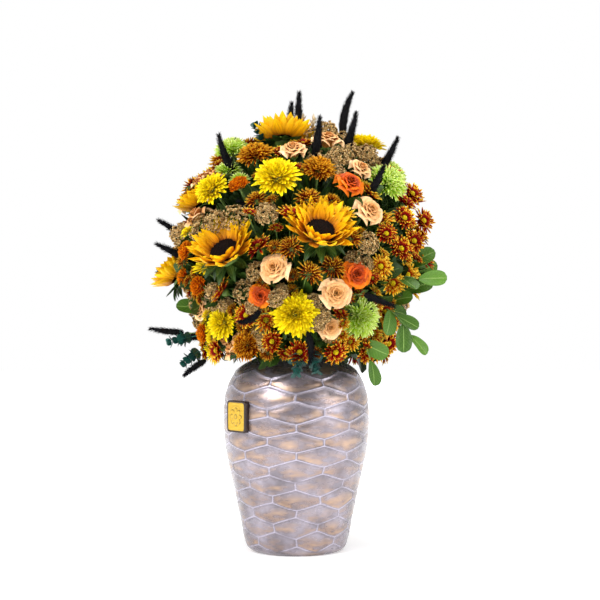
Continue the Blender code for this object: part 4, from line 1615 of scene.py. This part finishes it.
@dataclass
class Undergrowth:
    """Small spray flowers and leaves that close the gaps between the large heads."""

    middle: np.ndarray
    samples: int = 3600
    lowest: float = -0.33
    overlap: float = 0.78
    dish_radius: float = 0.045
    dish_overlap: float = 0.50
    dish_clear: float = 0.62
    least_gap: float = 0.024
    least_radius: float = 0.0125
    most_radius: float = 0.0235
    sunk: float = 0.006
    foam_radius: float = 0.064
    leaves: int = 2600

    def directions(self, count: int) -> np.ndarray:
        """Spread directions evenly from the lowest elevation to the top, on a golden-angle spiral.

        Args:
            count: How many there are.

        Returns:
            Unit vectors, one for each direction.
        """
        number = np.arange(count)
        height = 1 - (1 - self.lowest) * (number + 0.5) / count
        level = np.sqrt(1 - height**2)
        turn = number * GOLDEN_ANGLE
        return np.stack([level * np.cos(turn), level * np.sin(turn), height], -1)

    def gaps(self, poses: list[Pose], rng: np.random.Generator) -> list[Pose]:
        """Fill the widest gap again and again, until only narrow ones are left.

        The room round a direction is its least angle to the edge of any head. Each turn
        takes the direction with the most room, and its new head then counts as the rest do.

        Args:
            poses: The heads that are already there.
            rng: Source of the random tilts.

        Returns:
            One pose for each gap that is filled.
        """
        ways = self.directions(self.samples)
        offsets = np.array([pose.centre for pose in poses]) - self.middle
        reach = np.linalg.norm(offsets, axis=1)
        known = offsets / reach[:, None]
        radii = np.array([pose.radius for pose in poses])
        overlap = np.where(radii > self.dish_radius, self.dish_overlap, self.overlap)
        between = np.arccos(np.clip(ways @ known.T, -1, 1))
        room = (between - np.arcsin(np.clip(radii * overlap / reach, 0, 1))[None, :]).min(axis=1)
        depth = self.dome_reach(ways, known, reach) - self.sunk
        found = []
        while room.max() > self.least_gap:
            best = int(room.argmax())
            way, far = ways[best], depth[best]
            radius = float(np.clip(room[best] * far * 1.35, self.least_radius, self.most_radius))
            far = far - rng.uniform(0, 0.006)
            face = unit(way + np.array([0.0, 0.0, 0.3]) + rng.normal(0, 0.24, 3))
            foot = self.middle + way * self.foam_radius
            found.append(Pose(self.middle + way * far, face, radius, foot, way))
            angle = np.arccos(np.clip(ways @ way, -1, 1))
            room = np.minimum(room, angle - math.asin(radius * self.overlap / far))
        return found

    @staticmethod
    def dome_reach(ways: np.ndarray, known: np.ndarray, reach: np.ndarray) -> np.ndarray:
        """Return the mean reach of the three heads nearest to each direction."""
        nearest = np.argsort(-(ways @ known.T), axis=1)[:, :3]
        return reach[nearest].mean(axis=1)

    def chosen(self, pose: Pose, rng: np.random.Generator) -> Filling:
        """Choose what fills a gap: the nearest patch in front, and a mixture behind.

        Args:
            pose: The head's place, face and size.
            rng: Source of the random numbers.

        Returns:
            What grows in the gap.
        """
        way = unit(pose.centre - self.middle)
        patches = np.array([heading(patch.bearing, patch.elevation) for patch in PATCHWORK])
        angle = np.arccos(np.clip(patches @ way, -1, 1))
        pick = rng.integers(len(BACK_MIX))
        if angle.min() > 0.42:
            return BACK_MIX[pick]
        return PATCHWORK[int(angle.argmin())].filling

    def build(self, poses: list[Pose]) -> None:
        """Grow the fillers, one piece for each kind, and the leaves beneath them.

        Args:
            poses: The heads that are already there.
        """
        rng = np.random.default_rng(23)
        groups: dict[Filling, list[Patch]] = {filling: [] for filling in Filling}
        for pose in self.gaps(poses, rng):
            filling = self.chosen(pose, rng)
            if filling is Filling.LEAF:
                groups[filling].append(self.tuft(pose, rng))
            else:
                groups[filling].extend(FILLERS[filling][0].grow(pose, rng))
        for filling, patches in groups.items():
            if filling is not Filling.LEAF and patches:
                piece = make_piece(f"filler_{filling.name.lower()}", patches)
        piece = make_piece("filler_leaves", groups[Filling.LEAF] + self.underleaves(poses, rng))

    def tuft(self, pose: Pose, rng: np.random.Generator) -> Patch:
        """Grow a rosette of dark leaves that fills one gap.

        Args:
            pose: The head's place, face and size.
            rng: Source of the random numbers.

        Returns:
            One patch.
        """
        count = 7
        turn = np.arange(count) * GOLDEN_ANGLE
        size = pose.radius * rng.uniform(0.8, 1.2, count)
        at = pose.places(turn, 0.0, rng.uniform(-0.006, 0.002, count))
        rise, outline = rng.uniform(0.1, 0.9, count), Outline(0.06, 0.7, 0.5)
        return blades(at, size, size * 0.5, rise, -0.6, 0.25, outline, LEAF_DARK, rng, 8, 5, 0.05)

    def underleaves(self, poses: list[Pose], rng: np.random.Generator) -> list[Patch]:
        """Grow the leaves that end a little under the heads and keep the bouquet's middle dark.

        Args:
            poses: The heads that are already there.
            rng: Source of the random numbers.

        Returns:
            One patch in a list.
        """
        ways = self.directions(self.leaves)
        offsets = np.array([pose.centre for pose in poses]) - self.middle
        reach = np.linalg.norm(offsets, axis=1)
        count = len(ways)
        length = rng.uniform(0.042, 0.068, count)
        known = offsets / reach[:, None]
        tips = self.dome_reach(ways, known, reach) - rng.uniform(0.003, 0.058, count)
        radii = np.array([pose.radius for pose in poses])
        between = np.arccos(np.clip(ways @ known.T, -1, 1))
        under = (radii > self.dish_radius) & (between < np.arcsin(radii / reach))
        tips = np.minimum(tips, np.where(under, reach - self.dish_clear * radii, np.inf).min(axis=1))
        origin = self.middle + ways * (tips - length * 0.85)[:, None]
        forward = unit(ways + rng.normal(0, 0.38, ways.shape))
        look = rng.normal(0, 1, ways.shape)
        normal = unit(look - forward * (look * forward).sum(axis=1, keepdims=True))
        bend = rng.uniform(-0.9, 0.3, count)
        at, outline = Places(origin, forward, normal), Outline(0.04, 0.75, 0.45)
        return [blades(at, length, length * 0.45, 0.1, bend, 0.25, outline, LEAF_DARK, rng, 7, 4)]


@dataclass(frozen=True)
class LooseStem:
    """A stem that leans out of the dome: where it leaves, and which way its end points, in degrees."""

    bearing: float
    elevation: float
    reach: float
    end_bearing: float
    end_elevation: float
    length: float

    def pose(self, middle: np.ndarray) -> Pose:
        """Return the pose of a long head that starts where the stem leaves the dome.

        Args:
            middle: The point that all the stems leave from.

        Returns:
            The pose of the stem's end.
        """
        way = heading(self.bearing, self.elevation)
        face = heading(self.end_bearing, self.end_elevation)
        start = middle + way * self.reach
        return Pose(start + face * self.length / 2, face, self.length / 2, middle + way * 0.064, way)


LOOSE_FOXTAIL_WIDTH = 0.0125
LOOSE_FOXTAILS = (
    LooseStem(-12, 46, 0.222, -85, 22, 0.060),
    LooseStem(-16, 4, 0.186, -62, -24, 0.040),
    LooseStem(7, -4, 0.172, 6, -64, 0.054),
    LooseStem(30, 12, 0.204, 68, -20, 0.052),
    LooseStem(-84, -6, 0.180, -92, 6, 0.056),
    LooseStem(-78, -22, 0.158, -84, -36, 0.044),
)
EUCALYPTUS = (
    LooseStem(-40, 76, 0.282, -64, 56, 0.036),
    LooseStem(-46, 70, 0.272, -84, 40, 0.034),
    LooseStem(-84, -8, 0.166, -88, -14, 0.036),
    LooseStem(-80, -16, 0.160, -84, -40, 0.032),
    LooseStem(2, -16, 0.142, -10, -58, 0.040),
    LooseStem(10, -17, 0.140, 24, -60, 0.034),
)
BRANCHES = (
    (LooseStem(58, 24, 0.190, 74, -14, 0.044), 3),
    (LooseStem(60, 10, 0.176, 66, -62, 0.058), 5),
    (LooseStem(46, -12, 0.150, 36, -62, 0.032), 2),
)
PALE_STICKS = (
    LooseStem(0, 84, 0.290, -20, 74, 0.034),
    LooseStem(14, 82, 0.292, 10, 82, 0.030),
    LooseStem(26, 80, 0.290, 60, 78, 0.030),
)


@dataclass
class LooseStems:
    """The stems that lean out between the heads: foxtails, eucalyptus, a leafy branch and dried sticks."""

    middle: np.ndarray
    twig_leaves: int = 14
    twig_leaf: float = 0.0165
    branch_leaf: float = 0.047
    stick: PetalFinish = PetalFinish(
        "bleached stick skin", ((0.0, "#a38a68"), (0.6, "#cbb794"), (1.0, "#e6d9c0")), 0.3, 0.3, 0.8
    )

    def build(self) -> None:
        """Make one piece for each sort."""
        rng = np.random.default_rng(41)
        foxtails, twigs, leaves, sticks = [], [], [], []
        for stem in LOOSE_FOXTAILS:
            foxtail = Foxtail(length=stem.length, width=LOOSE_FOXTAIL_WIDTH, bristles=560)
            foxtails.extend(foxtail.grow(stem.pose(self.middle), rng))
        for stem in EUCALYPTUS:
            twigs.extend(self.twig(stem, rng))
        for stem, count in BRANCHES:
            leaves.extend(self.branch(stem, count, rng))
        for stem in PALE_STICKS:
            sticks.extend(self.dried_stick(stem, rng))
        make_piece("loose_foxtails", foxtails)
        make_piece("eucalyptus_twigs", twigs)
        make_piece("leafy_branches", leaves)
        make_piece("dried_sticks", sticks)

    @staticmethod
    def shoot(pose: Pose, length: float) -> np.ndarray:
        """Return the path of a shoot from the foam out to its end.

        Args:
            pose: The head's place, face and size.
            length: The length of the end that leans out.

        Returns:
            Sixteen points from the foam to the end.
        """
        start = pose.centre - pose.face * length / 2
        leave, arrive = pose.foot + pose.foot_way * 0.08, start - pose.face * 0.01
        return bezier(pose.foot, leave, arrive, start + pose.face * length, 16)

    def twig(self, stem: LooseStem, rng: np.random.Generator) -> list[Patch]:
        """Grow a twig with pairs of round leaves, each pair a quarter turn on from the one before.

        Args:
            stem: Where the stem leaves the dome and points.
            rng: Source of the random numbers.

        Returns:
            The twig's patches.
        """
        pose = stem.pose(self.middle)
        number = np.arange(self.twig_leaves)
        t = 0.10 + 0.90 * (number // 2) / (self.twig_leaves // 2 - 1)
        turn = (number // 2) * math.pi / 2 + (number % 2) * math.pi
        out = pose.around(turn + rng.normal(0, 0.25, self.twig_leaves))
        start = pose.centre - pose.face * stem.length / 2
        origin = start + pose.face * (t * stem.length)[:, None]
        forward = unit(out + pose.face * (0.25 + 0.5 * t)[:, None])
        normal = unit(pose.face - forward * (forward @ pose.face)[:, None])
        size = self.twig_leaf * (1.15 - 0.45 * t) * rng.uniform(0.85, 1.15, self.twig_leaves)
        bend = rng.uniform(-0.6, 0.4, self.twig_leaves)
        at, outline = Places(origin, forward, normal), Outline(0.22, 0.42, 0.34)
        leaves = blades(at, size, size * 0.95, 0.2, bend, 0.25, outline, LEAF_TEAL, rng, 9, 7)
        return [leaves, tube(self.shoot(pose, stem.length), np.linspace(0.0012, 0.0006, 16), 6, LEAF_TEAL)]

    def branch(self, stem: LooseStem, count: int, rng: np.random.Generator) -> list[Patch]:
        """Grow a branch with oval leaves that leave it on either side in turn and look to the front.

        Args:
            stem: Where the stem leaves the dome and points.
            count: How many there are.
            rng: Source of the random numbers.

        Returns:
            The branch's patches.
        """
        pose = stem.pose(self.middle)
        path = self.shoot(pose, stem.length)
        share = np.linspace(0.55, 1.0, count)
        at = np.stack([np.interp(share * 15, np.arange(16), path[:, axis]) for axis in range(3)], -1)
        look = unit(np.array([0.35, -1.0, 0.35]) + rng.normal(0, 0.22, (count, 3)))
        side = unit(np.cross(look, pose.face)) * np.where(np.arange(count) % 2, -1.0, 1.0)[:, None]
        forward = unit(pose.face + side * np.linspace(1.1, 0.3, count)[:, None])
        normal = unit(look - forward * (look * forward).sum(axis=1, keepdims=True))
        size = self.branch_leaf * rng.uniform(0.8, 1.05, count)
        bend = rng.uniform(-0.7, -0.2, count)
        places, outline = Places(at, forward, normal), Outline(0.04, 0.75, 0.42)
        leaves = blades(places, size, size * 0.56, 0.25, bend, 0.22, outline, LEAF_BRIGHT, rng, 14, 9, 0.04)
        return [leaves, tube(path, np.linspace(0.0016, 0.0009, 16), 7, STEM)]

    def dried_stick(self, stem: LooseStem, rng: np.random.Generator) -> list[Patch]:
        """Grow a bleached stick with short side stubs.

        Args:
            stem: Where the stem leaves the dome and points.
            rng: Source of the random numbers.

        Returns:
            The stick's patches.
        """
        pose = stem.pose(self.middle)
        start = pose.centre - pose.face * stem.length / 2
        count = 20
        share = rng.uniform(0.1, 1.0, count)
        out = pose.around(rng.uniform(0, 2 * math.pi, count))
        origin = start + pose.face * (share * stem.length)[:, None]
        forward = unit(out + pose.face * rng.uniform(0.1, 0.8, count)[:, None])
        normal = unit(pose.face - forward * (forward @ pose.face)[:, None])
        length = rng.uniform(0.007, 0.015, count)
        at, outline = Places(origin, forward, normal), Outline(0.2, 0.5, 0.5)
        stubs = blades(at, length, 0.0042, 0.1, 0.9, 0.8, outline, self.stick, rng, 6, 3)
        return [tube(self.shoot(pose, stem.length), np.linspace(0.0014, 0.0009, 16), 6, self.stick), stubs]


# ---------------------------------------------------------------- vase, plaque, foam and studio

VASE_OUTLINE = (
    (0.000, 0.609),
    (0.012, 0.660),
    (0.050, 0.705),
    (0.148, 0.765),
    (0.321, 0.870),
    (0.497, 0.974),
    (0.600, 1.000),
    (0.700, 0.997),
    (0.758, 0.972),
    (0.818, 0.915),
    (0.870, 0.825),
    (0.905, 0.690),
    (0.932, 0.545),
    (0.958, 0.470),
    (0.985, 0.478),
)


def smooth_through(x: np.ndarray, knots_x: np.ndarray, knots_y: np.ndarray) -> np.ndarray:
    """Run a smooth curve through knots: a cubic on each span, with the mean slopes at its knots.

    Args:
        x: Where to read the curve.
        knots_x: The knots' places, rising.
        knots_y: The knots' values.

    Returns:
        The values of the curve.
    """
    slope = np.gradient(knots_y, knots_x)
    span = np.clip(np.searchsorted(knots_x, x, side="right") - 1, 0, len(knots_x) - 2)
    wide = knots_x[span + 1] - knots_x[span]
    t = np.clip((x - knots_x[span]) / wide, 0, 1)
    first = (1 + 2 * t) * (1 - t) ** 2 * knots_y[span] + t * (1 - t) ** 2 * wide * slope[span]
    return first + t**2 * (3 - 2 * t) * knots_y[span + 1] - t**2 * (1 - t) * wide * slope[span + 1]


@dataclass
class Vase:
    """The ceramic vase: a turned body with rows of pressed six-sided scales."""

    wall: float = 0.006
    floor: float = 0.009
    sides: int = 384
    rows: int = 186
    scales_round: int = 8
    row_pitch: float = 0.0226
    upright_seam: float = 0.0120
    arch: float = 1.35
    wobble: float = 0.0010
    ridge: float = 0.0012
    ridge_width: float = 0.0015
    pillow: float = 0.0010
    tilt: float = 0.0006
    smooth_above: float = 0.306

    def __post_init__(self) -> None:
        """Read the height and the belly's radius from the CAD vase."""
        low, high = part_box("vase")
        self.height = high[2]
        self.belly = (high[0] - low[0]) / 2
        knots = np.array(VASE_OUTLINE)
        self.knots_z = knots[:, 0] * self.height
        self.knots_r = knots[:, 1] * self.belly

    def radius_at(self, z: np.ndarray) -> np.ndarray:
        """Return the outer radius at the given heights."""
        return smooth_through(np.asarray(z, float), self.knots_z, self.knots_r)

    def scale_marks(
        self, angle: np.ndarray, z: np.ndarray, radius: np.ndarray
    ) -> tuple[np.ndarray, np.ndarray, np.ndarray]:
        """Measure the scales at points of the side.

        Each scale is a hexagon with arched ends: two upright seams joined above and below
        by an arch that falls from its peak as the distance across to a power. The depth
        inside it is the least of the distances to its upright sides and its arches. A
        point belongs to the scale inside which it lies deepest, and a seam runs where two
        scales are equally deep. A slow wave in height and angle makes the rows uneven, as
        pressed by hand.

        Args:
            angle: Angle round the vase.
            z: Height.
            radius: Radius at that height.

        Returns:
            The distance to the nearest seam, the place from the scale's foot (-1) to its
            head (1), and one random number for each scale.
        """
        pitch = 2 * math.pi / self.scales_round
        z = z + self.wobble * (np.sin(3 * angle + z * 61) + 0.7 * np.sin(7 * angle - z * 143))
        angle = angle + self.wobble / 0.1 * (np.sin(z * 97 + 2 * angle) + 0.6 * np.sin(z * 211 - 5 * angle))
        tall = self.row_pitch - self.upright_seam
        peak = self.upright_seam / 2 + tall
        row = np.floor(z / self.row_pitch)
        half = pitch * radius / 2
        slope = np.sqrt(1 + (tall / half) ** 2)
        best = np.full(angle.shape, -1.0)
        second = np.full(angle.shape, -1.0)
        rise = np.zeros(angle.shape)
        chance = np.zeros(angle.shape)
        for candidate, beside in itertools.product((row - 1, row, row + 1, row + 2), (0, 1)):
            turned = angle / pitch - 0.5 * np.mod(candidate, 2)
            column = np.round(turned)
            across = np.abs(beside - np.abs(turned - column)) * 2
            up = z - candidate * self.row_pitch
            arched = (peak - tall * across**self.arch - np.abs(up)) / slope
            inside = np.minimum(half * (1 - across), arched)
            second = np.maximum(second, np.minimum(inside, best))
            deeper = inside > best
            best = np.where(deeper, inside, best)
            rise = np.where(deeper, up / peak, rise)
            number = np.sin(candidate * 12.9898 + np.mod(column, self.scales_round) * 78.233) * 43758.5453
            chance = np.where(deeper, np.mod(number, 1.0), chance)
        return (best - second) / 2, rise, chance

    def build(self) -> bpy.types.Object:
        """Make the pressed outside, the lip, the plain inside and the floor as one closed skin.

        Returns:
            The vase.
        """
        z = np.linspace(0.0015, self.height * 0.985, self.rows)
        radius = self.radius_at(z)
        angle = np.arange(self.sides) * 2 * math.pi / self.sides
        turn, tall = np.meshgrid(angle, z)
        wide = np.broadcast_to(radius[:, None], turn.shape)
        inside, rise, chance = self.scale_marks(turn, tall, wide)
        fade = np.clip((self.smooth_above - tall) / 0.02, 0, 1) * np.clip((tall - 0.004) / 0.006, 0, 1)
        seam = np.exp(-((inside / self.ridge_width) ** 2))
        pillow = self.pillow * (1 - np.exp(-((inside / 0.007) ** 2)))
        outer = wide + fade * (self.ridge * seam + pillow - self.tilt * rise * (1 - seam))
        lip_middle = radius[-1] - self.wall / 2
        bend = np.linspace(0, math.pi, 7)[1:-1]
        rim_r = lip_middle + self.wall / 2 * np.cos(bend)
        rim_z = self.height - self.wall / 2 + (self.wall / 2 - 0.0002) * np.sin(bend)
        in_z = np.linspace(self.height * 0.985, self.floor + self.wall, 46)
        in_r = self.radius_at(in_z) - self.wall
        well_r = np.array([in_r[-1] - self.wall * 0.4, in_r[-1] - self.wall * 1.4, in_r[-1] * 0.5, 0.0])
        well_z = np.array([self.floor + self.wall * 0.3, self.floor, self.floor, self.floor])
        plain_r = np.concatenate([rim_r, in_r, well_r])
        plain_z = np.concatenate([rim_z, in_z, well_z])
        foot_r = np.array([0.0, radius[0] * 0.5, radius[0] - 0.003])
        foot_z = np.zeros(3)
        round_it = (1, self.sides)
        all_r = np.vstack([np.tile(foot_r[:, None], round_it), outer, np.tile(plain_r[:, None], round_it)])
        all_z = np.vstack([np.tile(foot_z[:, None], round_it), tall, np.tile(plain_z[:, None], round_it)])
        points = np.stack([all_r * np.cos(angle), all_r * np.sin(angle), all_z], -1)
        marks = np.zeros((*all_r.shape, 3))
        marks[3 : 3 + self.rows] = np.stack([seam * fade, rise, chance], -1)
        quads = grid_quads(1, len(all_r), self.sides, True)
        glaze = GlazeFinish("pearl lustre glaze")
        patch = Patch(points.reshape(-1, 3), quads, marks.reshape(-1, 3), glaze)
        piece = make_piece("vase_glazed", [patch], "glaze")
        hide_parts("vase")
        return piece


@dataclass
class Plaque:
    """The small raised plaque: a dark lacquered body with a gold face that bears a rosette."""

    vase: Vase
    border: float = 0.0022
    bevel: float = 0.0012
    squareness: float = 12.0
    petals: int = 8

    def __post_init__(self) -> None:
        """Read the plaque's bearing, width, height and front from its CAD solid."""
        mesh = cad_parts["vase_plaque"].data
        points = np.empty(len(mesh.vertices) * 3)
        mesh.vertices.foreach_get("co", points)
        points = points.reshape(-1, 3)
        self.middle_z = (points[:, 2].min() + points[:, 2].max()) / 2
        self.half_tall = (points[:, 2].max() - points[:, 2].min()) / 2
        bearing = np.array([points[:, 0].mean(), points[:, 1].mean(), 0.0])
        self.front = unit(bearing)
        self.side = np.cross([0.0, 0.0, 1.0], self.front)
        self.half_wide = (points @ self.side).max()
        self.face_at = (points @ self.front).max()

    def outline(self, angle: np.ndarray, inset: float) -> tuple[np.ndarray, np.ndarray]:
        """Return the points of a square with rounded corners: a superellipse, drawn in by the inset.

        Args:
            angle: Angles round the outline.
            inset: How far it is drawn in.

        Returns:
            The distances across and up.
        """
        half_wide, half_tall = self.half_wide - inset, self.half_tall - inset
        power = self.squareness
        scale = (np.abs(np.cos(angle)) ** power + np.abs(np.sin(angle)) ** power) ** (-1 / power)
        return scale * np.cos(angle) * half_wide, scale * np.sin(angle) * half_tall

    def place(self, across: np.ndarray, up: np.ndarray, out: np.ndarray) -> np.ndarray:
        """Turn the plaque's own coordinates into points."""
        points = out[..., None] * self.front + across[..., None] * self.side
        return points + (up + self.middle_z)[..., None] * np.array([0.0, 0.0, 1.0])

    def build(self) -> None:
        """Make the body, whose sides run back into the glaze, and the gold face in its frame."""
        angle = np.arange(96) * 2 * math.pi / 96
        levels = (
            (0.0, 0.0, None),
            (1.0, 0.0, None),
            (1.0, 0.0, -self.bevel),
            (1.0, self.bevel * 0.3, -self.bevel * 0.3),
            (1.0, self.bevel, 0.0),
            (1.0, self.border, 0.0),
            (1.0, self.border, -self.bevel),
        )
        rings = []
        for share, inset, out in levels:
            across, up = (share * side for side in self.outline(angle, inset))
            wall = np.sqrt(self.vase.radius_at(up + self.middle_z) ** 2 - across**2) - 0.002
            depth = wall if out is None else np.full_like(across, self.face_at + out)
            rings.append(self.place(across, up, depth))
        points = np.concatenate(rings)
        quads = grid_quads(1, len(levels), 96, True)
        body = Patch(points, quads, np.zeros((len(points), 3)), LacquerFinish("worn dark lacquer"))
        rings_in = 30
        share = np.linspace(1, 0, rings_in)[:, None]
        edge_across, edge_up = self.outline(angle, self.border)
        across, up = edge_across * share, edge_up * share
        far = np.hypot(across, up)
        turn = np.arctan2(up, across)
        reach = self.half_wide * 0.62
        petal_edge = reach * (0.62 + 0.38 * np.abs(np.cos(self.petals * turn / 2)))
        inside = np.clip((petal_edge - far) / 0.0006, 0, 1)
        eye = np.clip((reach * 0.22 - far) / 0.0005, 0, 1)
        ring = np.exp(-(((far - reach * 1.12) / 0.0005) ** 2))
        out = self.face_at - 0.0004 + 0.0007 * inside + 0.0005 * eye + 0.0005 * ring
        edge_paint = np.exp(-(((petal_edge - far) / 0.0006) ** 2))
        eye_paint = np.exp(-(((far - reach * 0.24) / 0.0005) ** 2))
        paint = np.clip(edge_paint + eye_paint, 0, 1)
        paint = np.maximum(paint, np.clip((share - 0.955) / 0.02, 0, 1) * np.ones_like(far))
        face_points = self.place(across, up, out).reshape(-1, 3)
        marks = np.stack([paint, np.zeros_like(paint), np.zeros_like(paint)], -1).reshape(-1, 3)
        face = Patch(face_points, grid_quads(1, rings_in, 96, True), marks, GoldFinish("polished gold leaf"))
        piece = make_piece("vase_plaque_gilt", [body, face], "glaze")
        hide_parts("vase_plaque")


@dataclass
class Foam:
    """The block of wet foam in the neck, with a crumbled dome."""

    rows: int = 26
    sides: int = 64

    def build(self) -> None:
        """Make the block from the CAD foam's widths, with a small random crumble."""
        low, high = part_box("floral_foam")
        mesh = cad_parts["floral_foam"].data
        points = np.empty(len(mesh.vertices) * 3)
        mesh.vertices.foreach_get("co", points)
        points = points.reshape(-1, 3)
        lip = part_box("vase")[1][2]
        plug = np.hypot(points[:, 0], points[:, 1])[points[:, 2] < lip - 0.01].max()
        dome = (high[0] - low[0]) / 2
        middle = high[2] - dome
        seat = math.asin((lip + 0.0003 - middle) / dome)
        bend = np.linspace(seat, math.pi / 2, self.rows - 4)
        radius = np.concatenate([[0.0, plug * 0.97, plug, plug], dome * np.cos(bend)])
        plug_height = [low[2], low[2], low[2] + 0.003, lip + 0.0003]
        height = np.concatenate([plug_height, middle + dome * np.sin(bend)])
        angle = np.arange(self.sides) * 2 * math.pi / self.sides
        rng = np.random.default_rng(5)
        crumble = rng.uniform(-0.0008, 0.0, (self.rows, self.sides))
        wide = np.maximum(radius[:, None] + crumble * (radius[:, None] > 0.001), 0)
        level = np.broadcast_to(height[:, None], wide.shape)
        skin = np.stack([wide * np.cos(angle), wide * np.sin(angle), level], -1)
        quads = grid_quads(1, self.rows, self.sides, True)
        patch = Patch(skin.reshape(-1, 3), quads, np.zeros((wide.size, 3)), FoamFinish("wet floral foam"))
        piece = make_piece("foam_block", [patch])
        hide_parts("floral_foam")


@dataclass
class Studio:
    """A white sheet, soft light from all round and a level camera in front."""

    camera_place: tuple[float, float, float] = (0.006, -2.43, 0.399)
    lens: float = 91.0
    sheet_half: float = 6.0
    ceiling: float = 0.35
    front: float = 0.55

    def build(self) -> None:
        """Set the sheet, the lights and the camera."""
        half = self.sheet_half
        corners = [(-half, -half, 0), (half, -half, 0), (half, half, 0), (-half, half, 0)]
        mesh = bpy.data.meshes.new("paper_sheet")
        mesh.from_pydata([(x, y, -0.0002) for x, y, _ in corners], [], [(0, 1, 2, 3)])
        mesh.materials.append(PaperFinish("white seamless paper").material())
        sheet = bpy.data.objects.new("paper_sheet", mesh)
        bpy.context.collection.objects.link(sheet)
        self.light("key", (-1.8, -2.0, 2.0), 1.4, 75.0)
        self.light("fill", (2.4, -1.4, 1.2), 1.4, 32.0)
        self.light("top", (0.3, -0.3, 2.4), 1.6, 45.0)
        world = bpy.data.worlds.new("white room")
        world.use_nodes = True
        world.node_tree.nodes.clear()
        bench = NodeBench(world.node_tree)
        _, y, z = bench.add("SeparateXYZ", bench.add("TexCoord", output="Generated")).node.outputs
        above = bench.add("MapRange", z, 0.22, 0.56, 1.0, self.ceiling)
        ahead = bench.add("MapRange", y, -0.45, -0.95, 1.0, self.front)
        strength = bench.add("Math", above, ahead, operation="MULTIPLY")
        bench.add("OutputWorld", bench.add("Background", (1.0, 1.0, 1.0, 1.0), strength))
        bpy.context.scene.world = world
        bpy.context.scene.view_settings.view_transform = "Standard"
        data = bpy.data.cameras.new("camera")
        data.lens = self.lens
        data.sensor_width = 36.0
        camera = bpy.data.objects.new("camera", data)
        camera.location = self.camera_place
        camera.rotation_euler = (math.pi / 2, 0, 0)
        bpy.context.collection.objects.link(camera)
        bpy.context.scene.camera = camera

    def light(self, name: str, place: tuple[float, float, float], size: float, power: float) -> None:
        """Hang one square light that looks at the bouquet.

        Args:
            name: The light's name.
            place: Where it hangs.
            size: Side length in metres.
            power: Power in watts.
        """
        data = bpy.data.lights.new(name, "AREA")
        data.size = size
        data.energy = power
        lamp = bpy.data.objects.new(name, data)
        lamp.location = place
        look = np.array([0.0, 0.0, 0.4]) - np.array(place)
        level = math.hypot(look[0], look[1])
        lamp.rotation_euler = (math.pi / 2 + math.atan2(look[2], level), 0, math.atan2(-look[0], look[1]))
        bpy.context.collection.objects.link(lamp)


def main() -> None:
    """Build the vase, the foam, the bouquet and the studio in order."""
    logging.basicConfig(level=logging.INFO, format="%(message)s")
    Studio().build()
    vase = Vase()
    vase.build()
    Plaque(vase).build()
    Foam().build()
    reading = Frame()
    bouquet = Bouquet(reading)
    bouquet.build()
    Undergrowth(reading.middle).build(bouquet.poses)
    LooseStems(reading.middle).build()


if __name__ == "__main__":
    main()
